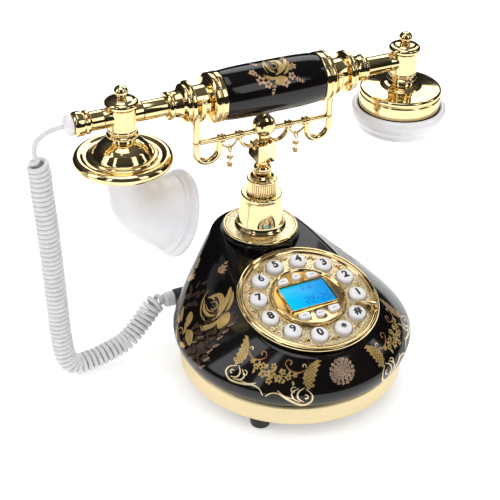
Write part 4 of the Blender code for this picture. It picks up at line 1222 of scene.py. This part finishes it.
def sprig(x, y, degrees, length, leaf_length, pairs=4, stem=0.16):
    """A stem with pairs of leaves and one at its tip."""
    angle = math.radians(degrees)
    ahead = Vector((math.cos(angle), math.sin(angle)))
    start = Vector((x, y))
    tip = start + ahead * length
    bow = (start + tip) / 2 + Vector((-ahead.y, ahead.x)) * length * 0.06
    out = [stroke([start, bow, tip], stem, 3, 0.8)]
    for k in range(pairs):
        share = (k + 0.6) / pairs
        foot = start.lerp(tip, share)
        reach = leaf_length * (1 - 0.35 * share)
        for side in (-1, 1):
            out.append(leaf(foot.x, foot.y, degrees + side * 48, reach, reach * 0.26))
    out.append(leaf(tip.x, tip.y, degrees, leaf_length * 0.7, leaf_length * 0.2))
    return out


def curl(x, y, degrees, size, hand=1, half_width=0.4):
    """A spiral that winds in from its foot at (x, y)."""
    points = []
    for k in range(15):
        t = k / 14
        angle = math.radians(degrees) + hand * (t * 4.6 - math.pi / 2)
        radius = size * (1 - 0.72 * t)
        points.append((radius * math.cos(angle), radius * math.sin(angle)))
    shift = Vector((x, y)) - Vector(points[0])
    line = [(px + shift.x, py + shift.y) for px, py in points]
    return ribbon(line, lambda t: half_width * (0.55 + 0.75 * t))


def moved(strips, x=0.0, y=0.0, degrees=0.0, scale=1.0, mirror=False):
    """The ribbons turned over if mirror is set, then scaled, turned and shifted."""
    turn = math.radians(degrees)
    out = []
    for rows in strips:
        out.append([[(x + scale * (math.cos(turn) * (-u if mirror else u) - math.sin(turn) * v),
                      y + scale * (math.sin(turn) * (-u if mirror else u) + math.cos(turn) * v))
                     for u, v in row] for row in rows])
    return out


def full_rose():
    """The open rose: cupped petals about its heart, two long outer petals on its right, a round one below."""
    solid = [petal([(1.5, 9.5), (6.3, 6.0), (5.6, -0.5), (0.2, -4.0)], 1.9, 0.5),
             petal([(-3.0, 10.5), (-6.0, 4.0), (-5.0, -2.0), (-2.0, -5.0)], 1.0, 0.5),
             petal([(14.8, 6.8), (11.0, 0.5), (4.0, -4.6), (-3.5, -7.2)], 1.9, 0.45),
             petal([(15.0, 1.8), (11.8, -3.6), (7.6, -7.2), (3.8, -8.6)], 1.25, 0.5),
             petal([(-12.4, -4.4), (-9.8, -7.6), (-6.0, -9.2), (-2.4, -9.0)], 1.5, 0.4),
             petal([(-6.4, -13.6), (-2.6, -12.6), (1.2, -12.2), (5.2, -11.2)], 3.7, 0.5),
             petal([(-1.2, 10.0), (1.8, 8.2), (2.6, 4.6)], 0.75, 0.5)]
    lines = [stroke([(1.0, 14.6), (-4.6, 10.4), (-8.8, 3.4), (-9.0, -3.0)], 0.5),
             stroke([(-0.6, 5.2), (2.6, 3.4), (2.2, -0.4), (-1.2, -0.8), (-2.0, 1.8)], 0.42),
             stroke([(-3.6, 6.6), (-3.9, 1.6), (-1.6, -2.6)], 0.4),
             stroke([(-12.8, -3.2), (-13.4, -5.4), (-11.6, -8.6)], 0.4)]
    return solid + lines


def side_rose():
    """The rose from its side: pointed petals above, broad ones at its right and below, lines at its left."""
    solid = [petal([(2.2, 6.0), (4.0, 11.0), (7.4, 17.0)], 1.3, 0.5),
             petal([(0.6, 6.4), (0.8, 10.6), (1.8, 15.0)], 1.1, 0.5),
             petal([(4.6, -2.6), (8.2, 1.6), (11.4, 7.2)], 2.9, 0.55),
             petal([(3.4, -4.4), (3.0, -9.8), (-0.6, -16.4)], 3.2, 0.5),
             petal([(-5.2, -6.4), (-4.6, -9.6), (-3.6, -13.4)], 1.5, 0.5),
             petal([(-0.6, -4.6), (3.0, -2.4), (5.0, 2.4)], 1.1, 0.5)]
    lines = [stroke([(-1.0 - k * 1.5, 6.8 - k * 0.9), (-4.2 - k, 3.6 - k * 1.4),
                     (-5.0 - k * 0.5, -0.6 - k * 1.3)], 0.42) for k in range(3)]
    lines += [stroke([(-1.6, 3.2), (1.0, 1.6), (0.6, -1.6), (-2.0, -1.8)], 0.42)]
    return solid + lines


def dark_leaves():
    """The dim leaves behind the roses: two uneven fields of sprigs."""
    out = []
    for column in range(6):
        for row in range(9):
            wobble = (column * 7 + row * 5) % 9 - 4
            u = 2.0 + column * 4.6 + 0.3 * wobble
            v = -17.0 + row * 4.7 + 0.25 * wobble
            out += sprig(u, v, 70 + 17 * wobble, 5.8, 2.4, 5, 0.12)
    for column in range(3):
        for row in range(8):
            wobble = (column * 5 + row * 7) % 9 - 4
            out += sprig(-30.0 + column * 5.2, -15.0 + row * 4.4, 100 + 20 * wobble, 5.2, 2.3, 5, 0.12)
    return out


def light_sprays():
    """Two uneven rows of fine pale sprigs."""
    out = []
    for k in range(7):
        out += sprig(26.0 + 0.8 * (k % 2), -17.0 + 5.6 * k, 52 + 9 * (k % 3), 4.6, 1.3, 4, 0.06)
    for k in range(6):
        out += sprig(9.0 + 2.2 * (k % 2), -8.0 + 5.2 * k, 40 + 12 * (k % 3), 5.0, 1.2, 4, 0.06)
    return out


def lay_roses(surface, mats, name, azimuth, mirror):
    """The flower field of one side; mirror turns it over for the other side."""
    side = -1 if mirror else 1

    def place(strips, offset, height, degrees, lift, mat, part, scale=1.0):
        sheet = body_sheet(surface, azimuth + side * offset, height)
        shown = moved(strips, degrees=degrees, scale=scale)
        if mirror:
            shown = moved(shown, mirror=True)
        lay(name + "_" + part, shown, sheet, lift, mat, "base")

    place(full_rose(), 4.5, 64.0, 90, LEAF_LIFT, mats["leaf_gold"], "full_rose", 1.15)
    place(side_rose(), -0.5, 45.5, 90, LEAF_LIFT, mats["leaf_gold"], "side_rose", 1.08)
    buds = []
    for k, (length, half) in enumerate(((9.0, 1.6), (7.4, 1.3), (7.0, 1.3), (5.6, 1.0), (5.4, 1.0))):
        spread = (0, 32, -30, 62, -58)[k]
        buds.append(leaf(0, 0, 120 + spread, length, half))
    buds += sprig(-2.0, -1.0, 130, 9.0, 3.0, 3)
    place(buds, -28.5, 60.5, 20, COPPER_LIFT, mats["copper_light"], "near_bud")
    place(buds, -22.0, 75.0, -5, COPPER_LIFT, mats["copper_light"], "far_bud", 0.95)
    place(sprig(0, 0, 160, 8.0, 2.4, 4), -34.0, 66.5, 0, PALE_LIFT, mats["pale_gold"], "bud_sprig")
    place(dark_leaves(), 4.0, 52.0, 0, UMBER_LIFT, mats["umber"], "dark_leaves")
    place(light_sprays(), 4.0, 52.0, 0, PALE_LIFT, mats["pale_copper"], "light_sprays")
    place(blossom(0, 0, 4.0, 6), 24.0, 65.0, 0, COPPER_LIFT, mats["umber"], "dark_flower")


def cartouche_half(mirror):
    """One half of the cartouche, by finish: the horn, its lattice, the pale scrolls and the copper scroll."""
    horn_line = [(29.4, 14.6), (26.4, 9.6), (24.4, 4.6), (24.0, 0.0), (25.2, -5.4)]
    horn = [petal(horn_line, 3.5, 0.52)]
    for k, point in enumerate(smooth_path([(x, y, 0) for x, y in horn_line], 3)[1:-1]):
        size = 1.1 + 1.5 * math.sin(math.pi * k / 11)
        horn.append(leaf(point.x + size * 0.9, point.y, 20 - 30 * (k % 2), 2.4, 0.6))
        if k % 2:
            horn.append(leaf(point.x - size * 0.9, point.y, 165, 2.0, 0.5))
    lattice = []
    for k in range(7):
        lattice.append(stroke([(21.6, -4.4 + 2.3 * k), (27.6, -0.8 + 2.3 * k)], 0.13, 4, 1.0))
        lattice.append(stroke([(27.4, -5.6 + 2.3 * k), (21.8, -0.6 + 2.3 * k)], 0.13, 4, 1.0))
    pale = [stroke([(23.4, -5.0), (27.6, -8.4), (27.8, -12.6), (22.8, -15.4), (14.6, -13.8), (8.4, -11.6),
                    (3.6, -12.6), (0.8, -15.6)], 0.62),
            stroke([(22.4, -4.4), (19.2, -7.8), (19.8, -11.6), (23.6, -13.4)], 0.55),
            stroke([(19.0, -5.4), (15.6, -8.6), (17.0, -12.2), (21.6, -13.8)], 0.5),
            stroke([(16.8, -12.6), (11.6, -12.2), (6.8, -9.6)], 0.42), curl(17.4, -5.2, 150, 2.3, 1, 0.42),
            curl(23.2, -9.0, 40, 1.7, -1, 0.4), curl(21.4, 8.4, 60, 1.7, 1, 0.4)]
    top = [stroke([(21.8, 7.2), (16.8, 4.4), (11.4, 4.8), (7.4, 7.8)], 0.55, blunt=0.6),
           curl(7.4, 7.8, 120, 3.0, -1, 0.48)]
    groups = {"horn": horn, "lattice": lattice, "pale": pale, "copper": top}
    return {key: moved(strips, mirror=mirror) for key, strips in groups.items()}


def garland():
    """Flowers and leaves in a swag between the two horns."""
    out = [stroke([(-17.0, 3.4), (-9.0, 0.2), (0.0, -0.8), (9.0, 0.2), (17.0, 3.4)], 0.28, blunt=0.8)]
    for x, y, size in ((0, -0.6, 3.4), (-5.2, -2.4, 2.9), (5.2, -2.4, 2.9), (-6.8, 2.6, 2.5), (6.8, 2.6, 2.5),
                       (-11.2, 0.2, 2.3), (11.2, 0.2, 2.3), (0.2, 4.6, 2.3), (0, -5.6, 2.3), (15.0, 2.4, 1.8),
                       (-15.0, 2.4, 1.8)):
        out += blossom(x, y, size, 5, x * 17)
    for k in range(12):
        x = -14.3 + 2.6 * k
        low = -1.4 if k % 2 else 1.4
        out.append(leaf(x, low, 70 + 17 * (k % 3) + (180 if k % 2 else 0), 3.6, 0.9))
    return out


def lay_cartouche(surface, mats, name, azimuth, tilt):
    sheet = body_sheet(surface, azimuth, 51.5)
    halves = [cartouche_half(mirror) for mirror in (False, True)]
    layers = (("horn", "leaf_gold", LEAF_LIFT), ("lattice", "umber", PALE_LIFT),
              ("pale", "pale_gold", PALE_LIFT), ("copper", "copper", COPPER_LIFT))
    for part, mat, lift in layers:
        strips = moved(halves[0][part] + halves[1][part], degrees=tilt)
        lay(name + "_" + part, strips, sheet, lift, mats[mat], "base")
    lay(name + "_garland", moved(garland(), degrees=tilt), sheet, LEAF_LIFT, mats["leaf_gold"], "base")


def lay_medallion(surface, mats):
    """The round filigree at the middle of the front."""
    strips = blossom(0, 0, 1.9, 6)
    for radius, count, size in ((2.9, 7, 1.35), (5.4, 12, 1.35), (7.9, 17, 1.3)):
        for k in range(count):
            angle = 2 * math.pi * (k + 0.31 * radius) / count
            strips += blossom(radius * math.cos(angle), radius * math.sin(angle), size, 5, 40 * k)
    for k in range(14):
        degrees = 360 * k / 14
        foot = (2.0 * math.cos(math.radians(degrees)), 2.0 * math.sin(math.radians(degrees)))
        strips += sprig(*foot, degrees + 8, 6.4, 1.3, 5, 0.1)
    lay("front_medallion", strips, body_sheet(surface, -3.0, 51.5), PALE_LIFT, mats["pale_copper"], "base")


def lay_grip_flowers(mats):
    """A rose with blossoms on each side of the grip's upper front."""
    sheet = grip_sheet(62)
    lay("grip_rose", moved(full_rose(), 1.0, 2.0, 8, 0.78), sheet, LEAF_LIFT, mats["leaf_gold"], "handset")
    flowers = []
    for x, y, size in ((-12.0, -5.4, 3.4), (-7.6, -8.8, 3.0), (5.0, -9.6, 3.4), (10.4, -6.2, 2.8),
                       (-15.4, 1.0, 2.6), (13.6, 0.4, 2.6)):
        flowers += blossom(x, y, size, 5, x * 11)
    for x, y, degrees in ((-12, -2, 150), (-3, -9, 250), (9, -2, 20), (12, -8, -30), (-9, 6, 120),
                          (9, 8, 50)):
        flowers += sprig(x, y, degrees, 6.0, 2.2, 3)
    lay("grip_blossoms", flowers, sheet, COPPER_LIFT, mats["copper_light"], "handset")


def lay_transfers(surface, mats):
    for name, azimuth, mirror in (("left", -100.0, False), ("right", 132.0, True)):
        lay_roses(surface, mats, name, azimuth, mirror)
    for name, azimuth, tilt in (("front_left", -38.5, -10.0), ("front_right", 38.5, 10.0)):
        lay_cartouche(surface, mats, name, azimuth, tilt)
    lay_medallion(surface, mats)
    lay_grip_flowers(mats)


# ---------------------------------------------------------------- cord

WIRE_DIAMETER = 3.3
COIL_RADIUS = 5.95
COIL_PITCH = 3.55
LOOSE_PITCH = 3.9
LOOSE_START = 150.0
LOOSE_BLEND = 30.0
LEAD_ROUTE = ((-140.9, NECK_Y, AXIS_Z), (-147.0, NECK_Y, 196.0), (-153.6, NECK_Y, 193.8),
              (-158.6, NECK_Y, 189.6), (-160.4, NECK_Y, 183.6), (-159.8, NECK_Y, 178.6))
COIL_ROUTE = ((-159.6, NECK_Y, 178.2), (-157.8, NECK_Y, 168.0), (-156.9, NECK_Y, 150.5),
              (-155.2, NECK_Y, 124.1), (-153.9, NECK_Y, 96.8), (-152.7, NECK_Y, 68.5),
              (-151.4, NECK_Y, 39.0), (-149.2, NECK_Y, 20.0), (-143.6, NECK_Y + 0.2, 10.4),
              (-134.0, NECK_Y + 0.8, 9.0), (-118.0, NECK_Y + 2.6, 10.6), (-102.0, NECK_Y + 5.4, 14.2),
              (-88.0, NECK_Y + 9.2, 24.4), (-77.4, SOCKET_Y - 0.2, 34.6), (-70.4, SOCKET_Y, SOCKET_Z))
TURN_POINTS = 16
RUN_IN = 5.0
CORD_STEP = 0.1


def resample(points, step):
    """Points at an even distance along the line."""
    out = [points[0].copy()]
    carry = 0.0
    for a, b in zip(points, points[1:]):
        length = (b - a).length
        reach = step - carry
        while reach <= length:
            out.append(a.lerp(b, reach / length))
            reach += step
        carry = (carry + length) % step
    return out


def cord_path():
    """The whole centreline: the straight lead, the turns of the coil, and the run into the plug."""
    lead = smooth_path(LEAD_ROUTE, 6)
    middle = resample(smooth_path(COIL_ROUTE, 14), CORD_STEP)
    tangents = tangents_of(middle)
    side = Vector((0, 1, 0))
    path = list(lead[:-2])
    total = (len(middle) - 1) * CORD_STEP
    turn = 0.0
    since = 0.0
    for k, point in enumerate(middle):
        if k:
            side = tangents[k - 1].rotation_difference(tangents[k]) @ side
        along = k * CORD_STEP
        open_share = min(max((along - LOOSE_START) / LOOSE_BLEND, 0.0), 1.0)
        pitch = COIL_PITCH + (LOOSE_PITCH - COIL_PITCH) * open_share
        turn += CORD_STEP / pitch
        since += CORD_STEP / pitch
        if since * TURN_POINTS < 1 and k:
            continue
        since = 0.0
        ease = min(along / RUN_IN, (total - along) / RUN_IN, 1.0)
        ease = ease * ease * (3 - 2 * ease)
        up = tangents[k].cross(side)
        angle = 2 * math.pi * turn
        path.append(point + COIL_RADIUS * ease * (side * math.cos(angle) + up * math.sin(angle)))
    path.append(Vector((-68.0, SOCKET_Y, SOCKET_Z)))
    path.append(Vector((-65.0, SOCKET_Y, SOCKET_Z)))
    return path


def build_cord(mats):
    path = cord_path()
    cord = finish("curly_handset_cord", sweep(path, WIRE_DIAMETER / 2, 10), mats["cord"], None, "cord_lead",
                  "curly_cord")
    boot = [(0, -46.0), (4.0, -46.0), (4.0, -62.2), (5.4, -62.5), (5.6, -63.4), (5.5, -66.0), (5.2, -69.2),
            (4.6, -70.0), (0, -70.0)]
    finish("cord_boot", lathe(boot, SMALL, 0.4), mats["cord"], "base", "cord_plug",
           place=along_x(0, SOCKET_Y, SOCKET_Z))
    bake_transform(cord)


# ---------------------------------------------------------------- hidden works


def dress_hidden_nodes(mats):
    """The pieces inside keep their CAD shape and take a finished material."""
    finishes = {"ballast_weight": "steel", "ringer_buzzer": "dark", "hook_switch": "dark",
                "handset_socket": "dark", "wall_socket": "dark", "circuit_board": "board",
                "mic_capsule": "dark", "speaker_capsule": "dark"}
    for node, name in finishes.items():
        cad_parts[node].data.materials[0] = mats[name]


# ---------------------------------------------------------------- stage


FLOOR_RADIUS = 900.0
FLOOR_GAP = 0.0003
LIGHT_TARGET = Vector((0, 0, 0.12))


def build_stage():
    floor, _tree, shader = new_material("pale_floor")
    shader.inputs["Base Color"].default_value = (0.93, 0.93, 0.93, 1)
    shader.inputs["Emission Color"].default_value = (1, 1, 1, 1)
    shader.inputs["Emission Strength"].default_value = 0.35
    shader.inputs["Roughness"].default_value = 0.9
    shader.inputs["Specular IOR Level"].default_value = 0.1
    bm = bmesh.new()
    bmesh.ops.create_circle(bm, cap_ends=True, segments=64, radius=FLOOR_RADIUS)
    plane = finish("studio_floor", bm, floor, None)
    plane.location.z = -FLOOR_GAP


def softbox(name, location, size, power):
    light = bpy.data.lights.new(name, "AREA")
    light.shape = "RECTANGLE"
    light.size = size[0]
    light.size_y = size[1]
    light.energy = power
    lamp = bpy.data.objects.new(name, light)
    lamp.location = location
    lamp.rotation_euler = (LIGHT_TARGET - Vector(location)).to_track_quat("-Z", "Y").to_euler()
    bpy.context.scene.collection.objects.link(lamp)


def build_world():
    """White to the camera and to rough surfaces; for reflections, a grey studio with a bright ceiling."""
    world = bpy.data.worlds.new("studio")
    bpy.context.scene.world = world
    world.use_nodes = True
    tree = world.node_tree
    background = tree.nodes["Background"]
    place = tree.nodes.new("ShaderNodeTexCoord")
    split = tree.nodes.new("ShaderNodeSeparateXYZ")
    tree.links.new(place.outputs["Generated"], split.inputs["Vector"])
    sky = colour_ramp(tree, split.outputs["Z"],
                      [(0.0, (0.02, 0.02, 0.02)), (0.30, (0.02, 0.02, 0.02)), (0.62, (0.06, 0.06, 0.06)),
                       (1.0, (0.14, 0.14, 0.14))])
    tree.links.new(sky, background.inputs["Color"])
    background.inputs["Strength"].default_value = 1.0
    rays = tree.nodes.new("ShaderNodeLightPath")
    last = background
    for output, strength in (("Is Diffuse Ray", 0.72), ("Is Camera Ray", 1.0)):
        plain = tree.nodes.new("ShaderNodeBackground")
        plain.inputs["Color"].default_value = (1, 1, 1, 1)
        plain.inputs["Strength"].default_value = strength
        mix = tree.nodes.new("ShaderNodeMixShader")
        tree.links.new(rays.outputs[output], mix.inputs["Fac"])
        tree.links.new(last.outputs[0], mix.inputs[1])
        tree.links.new(plain.outputs["Background"], mix.inputs[2])
        last = mix
    tree.links.new(last.outputs[0], tree.nodes["World Output"].inputs["Surface"])


# Each panel's name, place, width and height in metres, and brightness.
PANELS = (("left_softbox", (-1.41, 0.17, 1.06), (0.55, 1.3), 2.0),
          ("left_strip", (-1.25, -0.75, 1.0), (0.22, 1.2), 1.9),
          ("right_softbox", (0.63, -1.31, 1.18), (0.5, 0.9), 1.9),
          ("right_strip", (1.42, -0.55, 0.9), (0.22, 1.1), 2.2),
          ("rear_softbox", (0.72, 1.03, 1.09), (1.1, 0.8), 2.2),
          ("top_softbox", (-0.1, 0.0, 1.7), (1.1, 0.8), 2.0))


def build_lights():
    """Dim panels of even brightness, so each one's power goes with its area."""
    for name, location, size, glow in PANELS:
        softbox(name, location, size, glow * math.pi * size[0] * size[1])


# The camera's place in metres, its angles in degrees, and its lens in millimetres on a 36 mm sensor.
CAMERA_PLACE = (-0.3525, -0.6131, 0.5651)
CAMERA_AZIMUTH = -27.4
CAMERA_DOWN = 33.5
CAMERA_ROLL = 1.8
CAMERA_LENS = 90.33


def build_camera():
    camera = bpy.data.objects.new("camera", bpy.data.cameras.new("camera"))
    camera.data.lens = CAMERA_LENS
    camera.data.sensor_width = 36.0
    aim = turned(CAMERA_AZIMUTH, "Z") @ turned(90 - CAMERA_DOWN, "X") @ turned(CAMERA_ROLL, "Z")
    camera.matrix_world = at(*CAMERA_PLACE) @ aim
    bpy.context.scene.collection.objects.link(camera)
    bpy.context.scene.camera = camera
    bpy.context.scene.view_settings.view_transform = "Standard"


def main():
    mats = make_materials()
    build_camera()
    build_world()
    build_lights()
    build_stage()
    build_cord(mats)
    surface = build_body(mats)
    build_base(mats)
    build_dial(mats)
    build_dial_relief(mats)
    build_bezel(mats)
    build_keys(mats)
    build_function_buttons(mats)
    build_display(mats)
    build_neck(mats)
    build_plunger(mats)
    build_cradle(mats)
    build_pendants(mats)
    build_grip(mats)
    build_tees(mats)
    build_mouthpiece(mats)
    build_earpiece(mats)
    lay_transfers(surface, mats)
    dress_hidden_nodes(mats)


main()
